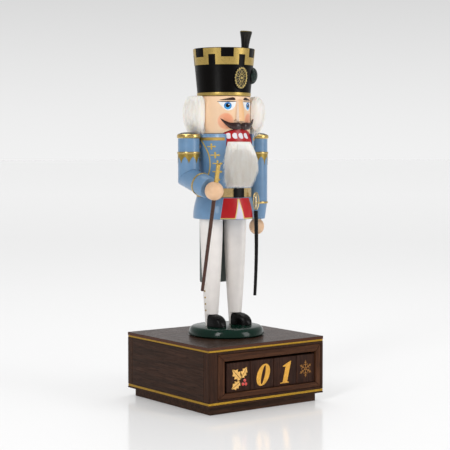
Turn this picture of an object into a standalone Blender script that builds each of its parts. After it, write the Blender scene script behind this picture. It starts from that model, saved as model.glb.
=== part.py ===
"""Nutcracker figure standing on a box that holds a countdown calendar.

Frame: metres, +Z up, origin at the centre of the box's underside. The figure and the
calendar face look along -Y, so the figure's own right hand is at -X.
"""

import math

import bmesh
import bpy
from mathutils import Matrix, Vector

# ---- shared sizes, metres ----
GAP = 0.0003
MERGE = 0.000001
EDGE = 0.0004

# ---- box ----
BOX_HALF = 0.0900
PLINTH_HALF = 0.0831
PLINTH_TOP = 0.0106
BASE_STEP = 0.0128
BASE_TOP = 0.0158
WALL_TOP = 0.0771
LID_STEP = 0.0798
BOX_TOP = 0.0835
WALL = 0.0100
STEP_INSET = 0.0018
STRIP_INSET = 0.0003
STRIP_THICK = 0.0012

# ---- calendar recess in the front wall: left, right, foot, top ----
WINDOW = (-0.0765, 0.0860, 0.0188, 0.0740)
RECESS = (-0.0660, 0.0780, 0.0255, 0.0650)
FRAME_PLAY = 0.0004
MITRE_PLAY = 0.0002
TRAY_WALL = 0.0040
BLOCK = 0.0360
BLOCK_FRONT = -0.0880
BLOCK_START = -0.0620
BLOCK_SPACE = 0.0006
ORNAMENT_WIDTH = 0.0296
BLOCK_EDGE = 0.0007

# ---- figure: axes and heights ----
BODY_Y = 0.0010
DISC_Y = -0.0040
DISC_RADIUS = 0.0485
DISC_TOP = 0.0952
LEG_X = 0.0188
LEG_Y = 0.0025
LEG_FOOT = DISC_TOP + GAP
LEG_TOP = 0.2324
LEG_FOOT_RADIUS = 0.0076
LEG_TOP_RADIUS = 0.0147
TENON_RADIUS = 0.0040
TENON_LENGTH = 0.0070
SHOE_BACK = 0.0002
SHOE_LENGTH = 0.0242
SHOE_HALF_WIDTH = 0.0088
SHOE_HEIGHT = 0.0150
RIGHT_TOE_SHIFT = 0.0006
LEFT_TOE_SHIFT = 0.0044
SKIRT_FOOT = 0.2327
WAIST = 0.2602
BELT_TOP = 0.2720
TORSO_TOP = 0.3405
HEAD_FOOT = TORSO_TOP + GAP
HEAD_TOP = 0.3879
HEAD_RADIUS = 0.0335
HAT_FOOT = HEAD_TOP + GAP
HAT_TOP = 0.4484
HAT_FOOT_RADIUS = 0.0338
HAT_TOP_RADIUS = 0.0393

# ---- jaw lever and the slot it swings in ----
PIVOT_Y = 0.0020
PIVOT_Z = 0.3080
PIN_RADIUS = 0.0020
PIN_PLAY = 0.00008
LEVER_HALF = 0.0197
SLOT_HALF = 0.0205
MOUTH_ARCH_RADIUS = 0.0433
MOUTH_ARCH_TOP = 0.3462
NUT_SEAT_RADIUS = 0.0095
NUT_SEAT_Y = -0.0185
NUT_SEAT_FLOOR = 0.3330

# ---- arms ----
ARM_X = 0.0544
ARM_Y = 0.0018
ARM_RADIUS = 0.0135
ARM_TOP = 0.3346
LEFT_CUFF_FOOT = 0.2308
ELBOW_Z = 0.2860
FOREARM_DROP = math.radians(16.5)
SLEEVE_LENGTH = 0.0457
HAND_DISTANCE = 0.0565
HAND_RADIUS = 0.0117
DOWEL_RADIUS = 0.0030
DOWEL_Z = 0.3250

# ---- cane and sabre ----
CANE_TILT = math.radians(12.2)
CANE_ABOVE = 0.0349
CANE_BELOW = 0.1283
CANE_SHIFT = 0.0014
SABRE_ANGLE = math.radians(36.0)
SABRE_RADIUS = 0.0427
SCABBARD_FOOT = 0.1348
SCABBARD_TOP = 0.2430

# ---- hat trim ----
COCKADE_ANGLE = math.radians(53.0)
COCKADE_Z = 0.4146
COCKADE_RADIUS = 0.0108
COCKADE_HEIGHT = 0.0066
EMBLEM_Z = 0.4106
PLUME_RADIUS_FROM_AXIS = 0.0266
BEARD_X = -0.0042
BEARD_Y = -0.0400
PLUME_LEAN = math.radians(4.0)
PLUME_HEIGHT = 0.0240
BUCKLE_TURN = math.radians(-4.5)

# ---- finishes: colour, roughness, metallic ----
WALNUT = ((0.030, 0.017, 0.012), 0.35, 0.0)
FRAME_WOOD = ((0.060, 0.025, 0.015), 0.35, 0.0)
GOLD_STRIP = ((0.48, 0.30, 0.04), 0.35, 0.6)
GOLD_PAINT = ((0.60, 0.42, 0.13), 0.35, 0.8)
COAT_BLUE = ((0.13, 0.25, 0.43), 0.40, 0.0)
SKIN = ((0.80, 0.55, 0.38), 0.45, 0.0)
BLACK = ((0.010, 0.010, 0.010), 0.25, 0.0)
WHITE = ((0.72, 0.69, 0.66), 0.45, 0.0)
GREEN = ((0.004, 0.050, 0.030), 0.15, 0.0)
BROWN = ((0.035, 0.012, 0.008), 0.35, 0.0)
RED = ((0.50, 0.010, 0.015), 0.35, 0.0)
FUR = ((0.80, 0.77, 0.72), 0.90, 0.0)
GREY_GREEN = ((0.12, 0.15, 0.14), 0.45, 0.0)
STEEL = ((0.45, 0.45, 0.46), 0.35, 1.0)
BEECH = ((0.55, 0.36, 0.20), 0.60, 0.0)


# ---- scene and material helpers ----
def clear_scene():
    for item in list(bpy.data.objects):
        bpy.data.objects.remove(item, do_unlink=True)


def paint(name, look):
    """A Principled material for one sub-part."""
    colour, roughness, metallic = look
    material = bpy.data.materials.new(name + "_finish")
    material.use_nodes = True
    shader = material.node_tree.nodes["Principled BSDF"]
    shader.inputs["Base Color"].default_value = (*colour, 1.0)
    shader.inputs["Roughness"].default_value = roughness
    shader.inputs["Metallic"].default_value = metallic
    return material


def place(name, mesh, look=None, transform=None, sharp=35.0):
    """Put a mesh in the scene. With no look it is a cutter, and stays hidden."""
    mesh.shade_smooth()
    mesh.set_sharp_from_angle(angle=math.radians(sharp))
    thing = bpy.data.objects.new(name, mesh)
    bpy.context.scene.collection.objects.link(thing)
    if transform is not None:
        thing.matrix_world = transform
    if look is None:
        thing.hide_render = True
        thing.display_type = "WIRE"
    else:
        mesh.materials.append(paint(name, look))
    return thing


def boolean(thing, other, operation="DIFFERENCE"):
    """Cut thing by other, or keep what the two share."""
    step = thing.modifiers.new(operation.lower() + "_" + other.name, "BOOLEAN")
    step.operation = operation
    step.solver = "EXACT"
    step.object = other


def soften(thing, width=EDGE, segments=1):
    """Break the sharp edges of a board or block."""
    step = thing.modifiers.new("soft_edges", "BEVEL")
    step.width = width
    step.segments = segments
    step.limit_method = "ANGLE"
    step.angle_limit = math.radians(40.0)


# ---- mesh helpers ----
def mesh_from(shape, name):
    """Turn a finished bmesh into a mesh whose faces point out."""
    bmesh.ops.recalc_face_normals(shape, faces=shape.faces)
    mesh = bpy.data.meshes.new(name)
    shape.to_mesh(mesh)
    shape.free()
    return mesh


def loft(name, rings, closed=False):
    """Skin rings of equal length. A closed loft joins the last ring to the first."""
    shape = bmesh.new()
    loops = [[shape.verts.new(point) for point in ring] for ring in rings]
    pairs = list(zip(loops, loops[1:]))
    if closed:
        pairs.append((loops[-1], loops[0]))
    else:
        shape.faces.new(list(reversed(loops[0])))
        shape.faces.new(loops[-1])
    for lower, upper in pairs:
        for index in range(len(lower)):
            after = (index + 1) % len(lower)
            shape.faces.new((lower[index], lower[after], upper[after], upper[index]))
    return mesh_from(shape, name)


def turned(name, profile, segments=40):
    """Spin a (radius, height) profile about Z. It starts and ends on the axis."""
    shape = bmesh.new()
    points = [shape.verts.new((radius, 0.0, height)) for radius, height in profile]
    edges = [shape.edges.new(pair) for pair in zip(points, points[1:])]
    bmesh.ops.spin(
        shape,
        geom=points + edges,
        cent=(0.0, 0.0, 0.0),
        axis=(0.0, 0.0, 1.0),
        angle=2.0 * math.pi,
        steps=segments,
        use_merge=True,
    )
    bmesh.ops.remove_doubles(shape, verts=shape.verts, dist=MERGE)
    return mesh_from(shape, name)


def prism(name, outline, plane, low, high):
    """Extrude an outline drawn in plane "YZ", "XZ" or "XY" from low to high."""
    spots = {
        "YZ": lambda u, v, w: (w, u, v),
        "XZ": lambda u, v, w: (u, w, v),
        "XY": lambda u, v, w: (u, v, w),
    }
    spot = spots[plane]
    rings = [[spot(u, v, w) for u, v in outline] for w in (low, high)]
    return loft(name, rings)


def move_origin(thing, point):
    """Put an object's origin at a point without moving its shape."""
    thing.data.transform(Matrix.Translation(-Vector(point)))
    thing.location = point


def rectangle(left, right, foot, top):
    return [(left, foot), (right, foot), (right, top), (left, top)]


def square(half, height):
    return [(u, v, height) for u, v in rectangle(-half, half, -half, half)]


def box(name, low, high):
    return prism(name, rectangle(low[0], high[0], low[1], high[1]), "XY", low[2], high[2])


def arc(centre, radius, start, end, steps):
    """Points along a circle arc, angles in degrees, both ends included."""
    spots = []
    for index in range(steps + 1):
        angle = math.radians(start + (end - start) * index / steps)
        spots.append((centre[0] + radius * math.cos(angle), centre[1] + radius * math.sin(angle)))
    return spots


def at(x, y, z=0.0):
    return Matrix.Translation((x, y, z))


def around_axis(angle, radius, z):
    """A point at an angle from the figure's front, towards its left hand."""
    return Vector((radius * math.sin(angle), BODY_Y - radius * math.cos(angle), z))


def aimed(origin, direction):
    """A transform that puts local Z along direction."""
    turn = Vector(direction).to_track_quat("Z", "Y").to_matrix().to_4x4()
    return Matrix.Translation(origin) @ turn


# ---- box: boards and gold strips ----
def stepped_board(name, halves, heights):
    """A board with a rebate round one edge, for a gold strip to sit in."""
    low_half, high_half = halves
    foot, step, top = heights
    rings = [
        square(low_half, foot),
        square(low_half, step),
        square(high_half, step),
        square(high_half, top),
    ]
    return place(name, loft(name, rings), WALNUT)


def gold_strip(name, foot, top):
    outer = BOX_HALF - STRIP_INSET
    inner = outer - STRIP_THICK
    rings = [square(outer, foot), square(outer, top), square(inner, top), square(inner, foot)]
    return place(name, loft(name, rings, closed=True), GOLD_STRIP)


def wall(name, low, high):
    thing = place(name, box(name, low, high), WALNUT)
    soften(thing)
    return thing


def make_box_shell():
    foot = BASE_TOP + GAP
    inner = BOX_HALF - WALL
    reach = inner - GAP
    plinth_low = (-PLINTH_HALF, -PLINTH_HALF, 0.0)
    wall("plinth", plinth_low, (PLINTH_HALF, PLINTH_HALF, PLINTH_TOP))
    narrow = BOX_HALF - STEP_INSET
    stepped_board("base_board", (BOX_HALF, narrow), (PLINTH_TOP + GAP, BASE_STEP, BASE_TOP))
    gold_strip("lower_gold_strip", BASE_STEP + GAP, BASE_TOP)
    wall("left_panel", (-BOX_HALF, -reach, foot), (-inner, reach, WALL_TOP))
    wall("right_panel", (inner, -reach, foot), (BOX_HALF, reach, WALL_TOP))
    wall("back_panel", (-BOX_HALF, inner, foot), (BOX_HALF, BOX_HALF, WALL_TOP))
    front = place(
        "front_panel",
        box("front_panel", (-BOX_HALF, -BOX_HALF, foot), (BOX_HALF, -inner, WALL_TOP)),
        WALNUT,
    )
    left, right, low, high = WINDOW
    window = box("window_cutter", (left, -0.1, low), (right, 0.0, high))
    boolean(front, place("window_cutter", window))
    soften(front)
    lid_foot = WALL_TOP + GAP
    gold_strip("upper_gold_strip", lid_foot, LID_STEP - GAP)
    return stepped_board("top_board", (narrow, BOX_HALF), (lid_foot, LID_STEP, BOX_TOP))


def make_window_frame():
    """Four mitred members between the front wall's window and the recess."""
    left, right, foot, top = WINDOW
    left += FRAME_PLAY
    right -= FRAME_PLAY
    foot += FRAME_PLAY
    top -= FRAME_PLAY
    in_left, in_right, in_foot, in_top = RECESS
    play = MITRE_PLAY
    members = {
        "frame_top": [(left + play, top), (right - play, top), (in_right - play, in_top),
                      (in_left + play, in_top)],
        "frame_bottom": [(left + play, foot), (right - play, foot), (in_right - play, in_foot),
                         (in_left + play, in_foot)],
        "frame_left": [(left, foot + play), (left, top - play), (in_left, in_top - play),
                       (in_left, in_foot + play)],
        "frame_right": [(right, foot + play), (right, top - play), (in_right, in_top - play),
                        (in_right, in_foot + play)],
    }
    for name, outline in members.items():
        mesh = prism(name, outline, "XZ", -BOX_HALF, -(BOX_HALF - WALL))
        soften(place(name, mesh, FRAME_WOOD))


def make_tray():
    """The lining that the calendar blocks stand in, behind the front wall."""
    left, right, foot, top = RECESS
    front = -(BOX_HALF - WALL) + GAP
    rear = BLOCK_FRONT + BLOCK + GAP
    back = rear + TRAY_WALL
    edge = BOX_HALF - WALL - GAP
    boards = {
        "tray_floor": ((left - TRAY_WALL, front, foot - TRAY_WALL), (edge, back, foot)),
        "tray_ceiling": ((left - TRAY_WALL, front, top), (edge, back, top + TRAY_WALL)),
        "tray_back": ((left, rear, foot + GAP), (right - GAP, back, top - GAP)),
        "tray_left": ((left - TRAY_WALL, front, foot + GAP), (left - GAP, back, top - GAP)),
        "tray_right": ((right, front, foot + GAP), (edge, back, top - GAP)),
    }
    for name, (low, high) in boards.items():
        place(name, box(name, low, high), WALNUT)


def make_blocks():
    widths = {
        "holly_block": BLOCK,
        "tens_block": BLOCK,
        "ones_block": BLOCK,
        "ornament_block": ORNAMENT_WIDTH,
    }
    left = BLOCK_START
    foot = RECESS[2] + GAP
    for name, width in widths.items():
        low = (left, BLOCK_FRONT, foot)
        high = (left + width, BLOCK_FRONT + BLOCK, foot + BLOCK)
        block = place(name, box(name, low, high), WALNUT)
        move_origin(block, [(a + b) / 2 for a, b in zip(low, high)])
        soften(block, BLOCK_EDGE, 2)
        left += width + BLOCK_SPACE


# ---- figure: disc, screws, legs and shoes ----
def make_disc():
    edge = arc((0.0400, 0.0855), 1.0, 0.0, 90.0, 6)
    curve = []
    for x, z in edge:
        curve.append((0.0425 + (x - 0.0400) * 0.0060, 0.0855 + (z - 0.0855) * (DISC_TOP - 0.0855)))
    foot = BOX_TOP + GAP
    profile = [(0.0, foot), (DISC_RADIUS - 0.0020, foot)] + curve + [(0.0, DISC_TOP)]
    return place("base_disc", turned("base_disc", profile, 48), GREEN, at(0.0, DISC_Y))


def make_screws(lid, disc):
    """Two countersunk screws that hold the disc to the box from underneath."""
    head = WALL_TOP + 2.0 * GAP
    tip = 0.0920
    outline = [(0.0, head), (0.0034, head), (0.0034, head + 0.0004), (0.0017, head + 0.0022),
               (0.0017, tip - 0.0030), (0.0, tip)]
    hole = [(0.0, head - 0.0020), (0.0038, head - 0.0020), (0.0038, head + 0.0005),
            (0.0021, head + 0.0025), (0.0021, tip + 0.0005), (0.0, tip + 0.0005)]
    for name, x in (("right_screw", -0.030), ("left_screw", 0.030)):
        spot = at(x, DISC_Y - 0.008)
        place(name, turned(name, outline, 16), STEEL, spot)
        cutter = place(name + "_hole", turned(name + "_hole", hole, 16), None, spot)
        boolean(lid, cutter)
        boolean(disc, cutter)


def leg_radius(share):
    """Radius at a share of the leg's height: it swells quickly, then runs nearly straight."""
    return LEG_FOOT_RADIUS + (LEG_TOP_RADIUS - LEG_FOOT_RADIUS) * (1.0 - (1.0 - share) ** 1.5)


def make_leg(name, x, disc, skirt):
    steps = 10
    low = LEG_FOOT - TENON_LENGTH
    high = LEG_TOP + TENON_LENGTH
    profile = [(0.0, low), (TENON_RADIUS, low), (TENON_RADIUS, LEG_FOOT)]
    for index in range(steps + 1):
        share = index / steps
        profile.append((leg_radius(share), LEG_FOOT + share * (LEG_TOP - LEG_FOOT)))
    profile += [(TENON_RADIUS, LEG_TOP), (TENON_RADIUS, high), (0.0, high)]
    leg = place(name, turned(name, profile, 32), WHITE, at(x, LEG_Y))
    notch_top = LEG_FOOT + SHOE_HEIGHT + GAP
    notch_foot = LEG_FOOT - 0.0005
    notch = box(name + "_notch", (x - 0.02, -0.03, notch_foot), (x + 0.02, SHOE_BACK + GAP, notch_top))
    boolean(leg, place(name + "_notch", notch))
    hole_radius = TENON_RADIUS + GAP
    for part, foot, top in (
        (disc, low - GAP, LEG_FOOT + 0.01),
        (skirt, LEG_TOP - 0.01, high + GAP),
    ):
        hole_name = part.name + "_hole_for_" + name
        profile = [(0.0, foot), (hole_radius, foot), (hole_radius, top), (0.0, top)]
        boolean(part, place(hole_name, turned(hole_name, profile, 32), None, at(x, LEG_Y)))


def make_shoe(name, x, toe_shift):
    """A flat-soled block whose top and sides round over to the toe, which points outward."""
    rings = []
    steps = 9
    around = 10
    for index in range(steps + 1):
        share = 0.985 * (index / steps) ** 0.7
        half = SHOE_HALF_WIDTH * (1.0 - share ** 3.4) ** 0.42
        height = SHOE_HEIGHT * (1.0 - share ** 2.6) ** 0.55
        ring = []
        for turn in range(around + 1):
            angle = math.pi * turn / around
            across = math.copysign(abs(math.cos(angle)) ** 0.45, math.cos(angle))
            ring.append((x + toe_shift * share ** 1.3 + half * across, SHOE_BACK - share * SHOE_LENGTH,
                         LEG_FOOT + height * math.sin(angle) ** 0.45))
        rings.append(ring)
    place(name, loft(name, rings), BLACK, sharp=50.0)


# ---- figure: coat, belt and jaw lever ----
def slot_cutter(name):
    """The slot from the mouth down and back to the coat tails, as wide as the lever needs."""
    outline = [(-0.0600, 0.3060), (-0.0340, 0.3060), (-0.0110, 0.2940), (0.0040, 0.2700),
               (0.0120, 0.2490), (0.0175, 0.2360), (0.0175, 0.2250), (0.0600, 0.2250),
               (0.0600, 0.2600), (0.0400, 0.2830), (0.0150, 0.3170), (-0.0015, 0.3240),
               (-0.0035, 0.3550), (-0.0600, 0.3550)]
    return place(name, prism(name, outline, "YZ", -SLOT_HALF, SLOT_HALF))


def make_skirt():
    profile = [(0.0, SKIRT_FOOT), (0.0380, SKIRT_FOOT), (0.0392, 0.2332), (0.0396, 0.2347),
               (0.0393, 0.2415), (0.0385, 0.2470), (0.0372, 0.2530), (0.0352, WAIST), (0.0, WAIST)]
    skirt = place("coat_skirt", turned("coat_skirt", profile), COAT_BLUE, at(0.0, BODY_Y))
    boolean(skirt, slot_cutter("skirt_slot"))
    return skirt


def make_torso():
    foot = WAIST + GAP
    profile = [(0.0, foot), (0.0338, foot), (0.0338, BELT_TOP + GAP), (0.0350, BELT_TOP + GAP),
               (0.0357, 0.2850), (0.0370, 0.3050), (0.0382, 0.3220), (0.0388, 0.3330),
               (0.0388, 0.3385), (0.0378, TORSO_TOP), (0.0, TORSO_TOP)]
    torso = place("torso", turned("torso", profile), COAT_BLUE, at(0.0, BODY_Y))
    boolean(torso, slot_cutter("torso_slot"))
    return torso


def make_belt():
    """An open band: the coat tails leave through its gap at the back."""
    steps = 34
    reach = math.radians(142.0)
    rings = []
    for index in range(steps + 1):
        angle = -reach + 2.0 * reach * index / steps
        foot = WAIST + 2 * GAP
        section = ((0.0341, foot), (0.0354, foot), (0.0354, BELT_TOP), (0.0341, BELT_TOP))
        rings.append([around_axis(angle, radius, z) for radius, z in section])
    place("belt", loft("belt", rings), GOLD_PAINT)


def make_buckle():
    steps = 6
    reach = math.radians(11.8)
    rings = []
    for index in range(steps + 1):
        angle = BUCKLE_TURN - reach + 2.0 * reach * index / steps
        section = ((0.0357, 0.2604), (0.0369, 0.2604), (0.0369, 0.2724), (0.0357, 0.2724))
        rings.append([around_axis(angle, radius, z) for radius, z in section])
    place("belt_buckle", loft("belt_buckle", rings), BLACK)


def cross_pin(name, radius, reach, look=None):
    """A round bar along X at the jaw's pivot."""
    profile = [(0.0, -reach), (radius, -reach), (radius, reach), (0.0, reach)]
    return place(name, turned(name, profile, 24), look, aimed((0.0, PIVOT_Y, PIVOT_Z), (1.0, 0.0, 0.0)))


def mouth_arch(half, lift=0.0):
    """The arched top edge of the jaw, from its right side to its left."""
    radius = MOUTH_ARCH_RADIUS + lift
    centre = MOUTH_ARCH_TOP - MOUTH_ARCH_RADIUS
    points = []
    steps = 10
    for index in range(steps + 1):
        x = half - 2.0 * half * index / steps
        points.append((x, centre + math.sqrt(radius * radius - x * x)))
    return points


def make_lever():
    """Jaw, neck and coat tails in one board, pivoted on a cross pin."""
    side = [(-0.0400, 0.3500), (-0.0400, 0.3270), (-0.0300, 0.3200), (-0.0090, 0.3000),
            (0.0060, 0.2720), (0.0140, 0.2500), (0.0195, 0.2360), (0.0195, 0.1488),
            (0.0270, 0.1488), (0.0270, 0.2500), (0.0240, 0.2680), (0.0120, 0.3100),
            (-0.0040, 0.3220), (-0.0060, 0.3500)]
    lever = place("jaw_lever", prism("jaw_lever", side, "YZ", -LEVER_HALF, LEVER_HALF), RED)
    corner = 0.0035
    foot = 0.1488
    front = arc((-LEVER_HALF + corner, foot + corner), corner, 180.0, 270.0, 4)
    front += arc((LEVER_HALF - corner, foot + corner), corner, 270.0, 360.0, 4)
    front += mouth_arch(LEVER_HALF)
    outline = place("lever_outline", prism("lever_outline", front, "XZ", -0.06, 0.06))
    boolean(lever, outline, "INTERSECT")
    reach = [(0.0, 0.1400), (0.0378, 0.1400), (0.0378, 0.3325), (0.0342, 0.3410),
             (0.0337, 0.3520), (0.0, 0.3520)]
    boolean(lever, place("jaw_front", turned("jaw_front", reach, 64), None, at(0.0, BODY_Y)), "INTERSECT")
    seat = [(0.0, NUT_SEAT_FLOOR), (NUT_SEAT_RADIUS, NUT_SEAT_FLOOR), (NUT_SEAT_RADIUS, 0.36), (0.0, 0.36)]
    boolean(lever, place("nut_seat", turned("nut_seat", seat, 24), None, at(0.0, NUT_SEAT_Y)))
    return lever


def make_pivot(torso, lever, beard):
    """The pin, its holes, and an empty on its axis that carries what moves with the jaw."""
    pivot = bpy.data.objects.new("jaw_pivot", None)
    bpy.context.scene.collection.objects.link(pivot)
    pivot.location = (0.0, PIVOT_Y, PIVOT_Z)
    for thing in (lever, beard):
        move_origin(thing, pivot.location)
        thing.parent = pivot
        thing.location = (0.0, 0.0, 0.0)
    cross_pin("pivot_pin", PIN_RADIUS, 0.0355, STEEL)
    hole = cross_pin("pivot_hole", PIN_RADIUS + PIN_PLAY, 0.0450)
    boolean(torso, hole)
    boolean(lever, hole)


def make_beard():
    """Solid of the fur beard: hung from the chin, cleared round the coat behind it."""
    rings = []
    steps = 8
    foot = 0.2745
    top = 0.3310
    for index in range(steps + 1):
        share = index / steps
        half = 0.0172 + 0.0068 * math.sin(math.pi * min(1.0, 0.15 + 0.85 * share)) ** 0.8
        depth = 0.0085 + 0.0040 * math.sin(math.pi * (0.15 + 0.75 * share))
        ring = []
        for turn in range(16):
            angle = 2.0 * math.pi * turn / 16
            z = foot + share * (top - foot)
            ring.append((BEARD_X + half * math.cos(angle), BEARD_Y + depth * math.sin(angle), z))
        rings.append(ring)
    beard = place("beard", loft("beard", rings), FUR)
    clear = [(0.0, 0.25), (0.0398, 0.25), (0.0398, 0.35), (0.0, 0.35)]
    boolean(beard, place("beard_clearance", turned("beard_clearance", clear, 64), None, at(0.0, BODY_Y)))
    return beard


# ---- figure: head ----
def make_head():
    edge = 0.0006
    profile = [(0.0, HEAD_FOOT), (HEAD_RADIUS - edge, HEAD_FOOT), (HEAD_RADIUS, HEAD_FOOT + edge),
               (HEAD_RADIUS, HEAD_TOP - edge), (HEAD_RADIUS - edge, HEAD_TOP), (0.0, HEAD_TOP)]
    head = place("head", turned("head", profile, 48), SKIN, at(0.0, BODY_Y))
    outline = [(-SLOT_HALF, 0.3300), (SLOT_HALF, 0.3300)] + mouth_arch(SLOT_HALF, 0.0008)
    mouth = prism("mouth_slot", outline, "XZ", -0.0600, -0.0045)
    boolean(head, place("mouth_slot", mouth))


def make_nose():
    """A wedge on the front of the head, thickest at its tip."""
    levels = [(0.3562, 0.0044, 0.0068, 0.0050), (0.3600, 0.0043, 0.0070, 0.0046),
              (0.3720, 0.0040, 0.0064, 0.0032), (0.3835, 0.0034, 0.0052, 0.0012)]
    rings = []
    for z, front, base, proud in levels:
        face = BODY_Y - HEAD_RADIUS - proud
        root = BODY_Y - HEAD_RADIUS + 0.0050
        rings.append([(-base, root, z), (-front, face, z), (front, face, z), (base, root, z)])
    nose = place("nose", loft("nose", rings), SKIN)
    around = HEAD_RADIUS + GAP
    clear = [(0.0, 0.34), (around, 0.34), (around, 0.40), (0.0, 0.40)]
    boolean(nose, place("nose_clearance", turned("nose_clearance", clear, 96), None, at(0.0, BODY_Y)))
    soften(nose, 0.0005, 2)


def moustache_section(share):
    """Centre height, half height and half thickness at a share of the way to a tip."""
    rise = max(0.0, (share - 0.46) / 0.54)
    height = 0.3502 + 0.0093 * rise ** 1.6
    swell = math.sin(math.pi * min(1.0, 0.14 + 0.86 * share ** 0.62))
    half = 0.0004 + 0.0044 * swell ** 0.75
    thick = 0.0008 + 0.0022 * swell
    return height, half, thick


def make_moustache():
    """One carved bar, thin in the middle and at its two raised tips."""
    reach = math.radians(43.0)
    steps = 22
    around = 10
    rings = []
    for index in range(steps + 1):
        side = -1.0 + 2.0 * index / steps
        height, half, thick = moustache_section(abs(side))
        middle = HEAD_RADIUS + 2 * GAP + thick + 0.0026 * abs(side) ** 2.0
        ring = []
        for turn in range(around):
            angle = 2.0 * math.pi * turn / around
            radius = middle + thick * math.cos(angle)
            ring.append(around_axis(side * reach, radius, height + half * math.sin(angle)))
        rings.append(ring)
    place("moustache", loft("moustache", rings), BROWN, sharp=60.0)


def make_hair():
    """Solid of the fur hair: a thick collar from temple to temple round the back."""
    start = math.radians(60.0)
    end = math.radians(280.0)
    steps = 24
    around = 14
    rings = []
    for index in range(steps + 1):
        share = index / steps
        angle = start + (end - start) * share
        swell = min(1.0, 0.72 + 3.0 * (1.0 - share), 0.80 + 6.0 * share) + 0.16 * math.exp(-8.0 * share)
        depth = 0.0089 * swell
        half = 0.0228 * (0.90 + 0.10 * swell)
        ring = []
        for turn in range(around):
            phase = 2.0 * math.pi * turn / around
            across = math.copysign(abs(math.cos(phase)) ** 0.75, math.cos(phase))
            along = math.copysign(abs(math.sin(phase)) ** 0.75, math.sin(phase))
            ring.append(around_axis(angle, 0.0344 + depth + depth * across, 0.3671 + half * along))
        rings.append(ring)
    place("hair", loft("hair", rings), FUR, sharp=60.0)


# ---- figure: hat ----
def hat_skin(name, offset):
    """A cone parallel to the hat's side, for shaping what sits on it."""
    slope = (HAT_TOP_RADIUS - HAT_FOOT_RADIUS) / (HAT_TOP - HAT_FOOT)
    low = HAT_FOOT_RADIUS + offset - slope * 0.01
    high = HAT_TOP_RADIUS + offset + slope * 0.01
    profile = [(0.0, HAT_FOOT - 0.01), (low, HAT_FOOT - 0.01), (high, HAT_TOP + 0.01), (0.0, HAT_TOP + 0.01)]
    return place(name, turned(name, profile, 96), None, at(0.0, BODY_Y))


def make_hat():
    bead = HAT_FOOT_RADIUS + 0.0004
    profile = [(0.0, HAT_FOOT), (HAT_FOOT_RADIUS - 0.0006, HAT_FOOT), (bead, HAT_FOOT + 0.0008),
               (bead + 0.0002, HAT_FOOT + 0.0038), (HAT_FOOT_RADIUS + 0.0003, HAT_FOOT + 0.0045),
               (HAT_TOP_RADIUS, HAT_TOP - 0.0006), (HAT_TOP_RADIUS - 0.0006, HAT_TOP),
               (HAT_TOP_RADIUS - 0.0022, HAT_TOP), (HAT_TOP_RADIUS - 0.0028, HAT_TOP - 0.0010),
               (0.0, HAT_TOP - 0.0010)]
    return place("hat", turned("hat", profile, 48), BLACK, at(0.0, BODY_Y))


def make_plume(hat):
    """A fluted stub that leans outward, its peg set in a hole in the hat's top."""
    seat = HAT_TOP - 0.0010
    lift = 2 * GAP
    outwards = around_axis(COCKADE_ANGLE, math.sin(PLUME_LEAN), math.cos(PLUME_LEAN))
    direction = outwards - Vector((0.0, BODY_Y, 0.0))
    spot = aimed(around_axis(COCKADE_ANGLE, PLUME_RADIUS_FROM_AXIS, seat), direction)
    profile = [(0.0, -0.0080), (0.0025, -0.0080), (0.0025, lift), (0.0046, lift),
               (0.0050, 0.0065), (0.0060, 0.0140), (0.0076, 0.0214),
               (0.0078, PLUME_HEIGHT - 0.0008), (0.0072, PLUME_HEIGHT), (0.0, PLUME_HEIGHT)]
    place("plume", turned("plume", profile, 24), BLACK, spot)
    hole = [(0.0, -0.0085), (0.0029, -0.0085), (0.0029, 0.0100), (0.0, 0.0100)]
    boolean(hat, place("plume_hole", turned("plume_hole", hole, 24), None, spot))


def make_cockade():
    """A ribbed button on the side of the hat."""
    rings = []
    petals = 10
    around = petals * 4
    for share in (0.0, 0.30, 0.55, 0.78, 0.93, 1.0):
        radius = COCKADE_RADIUS * math.sqrt(max(0.02, 1.0 - share ** 2.4))
        ring = []
        for turn in range(around):
            angle = 2.0 * math.pi * turn / around
            ripple = 1.0 + 0.045 * math.cos(petals * angle)
            ring.append((radius * ripple * math.cos(angle), radius * ripple * math.sin(angle),
                         -0.0020 + (COCKADE_HEIGHT + 0.0020) * share))
        rings.append(ring)
    slope = (HAT_TOP_RADIUS - HAT_FOOT_RADIUS) / (HAT_TOP - HAT_FOOT)
    surface = HAT_FOOT_RADIUS + slope * (COCKADE_Z - HAT_FOOT)
    outwards = around_axis(COCKADE_ANGLE, 1.0, -slope) - Vector((0.0, BODY_Y, 0.0))
    spot = aimed(around_axis(COCKADE_ANGLE, surface, COCKADE_Z), outwards)
    cockade = place("cockade", loft("cockade", rings), BLACK, spot)
    boolean(cockade, hat_skin("cockade_clearance", GAP))


def make_emblem():
    """The oval plate on the front of the hat, curved to the hat's side."""
    ellipse = []
    around = 32
    for turn in range(around):
        angle = 2.0 * math.pi * turn / around
        ellipse.append((0.0100 * math.cos(angle), EMBLEM_Z + 0.0140 * math.sin(angle)))
    emblem = place("hat_emblem", prism("hat_emblem", ellipse, "XZ", -0.0480, -0.0300), GOLD_PAINT)
    boolean(emblem, hat_skin("emblem_front", 0.0014), "INTERSECT")
    boolean(emblem, hat_skin("emblem_back", GAP))


# ---- figure: arms ----
def ring_bead(centre, radius, half=0.0012):
    """Profile points of a raised bead round an arm."""
    return [(radius - 0.0006, centre - half), (radius, centre - half * 0.5), (radius, centre + half * 0.5),
            (radius - 0.0006, centre + half)]


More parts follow.
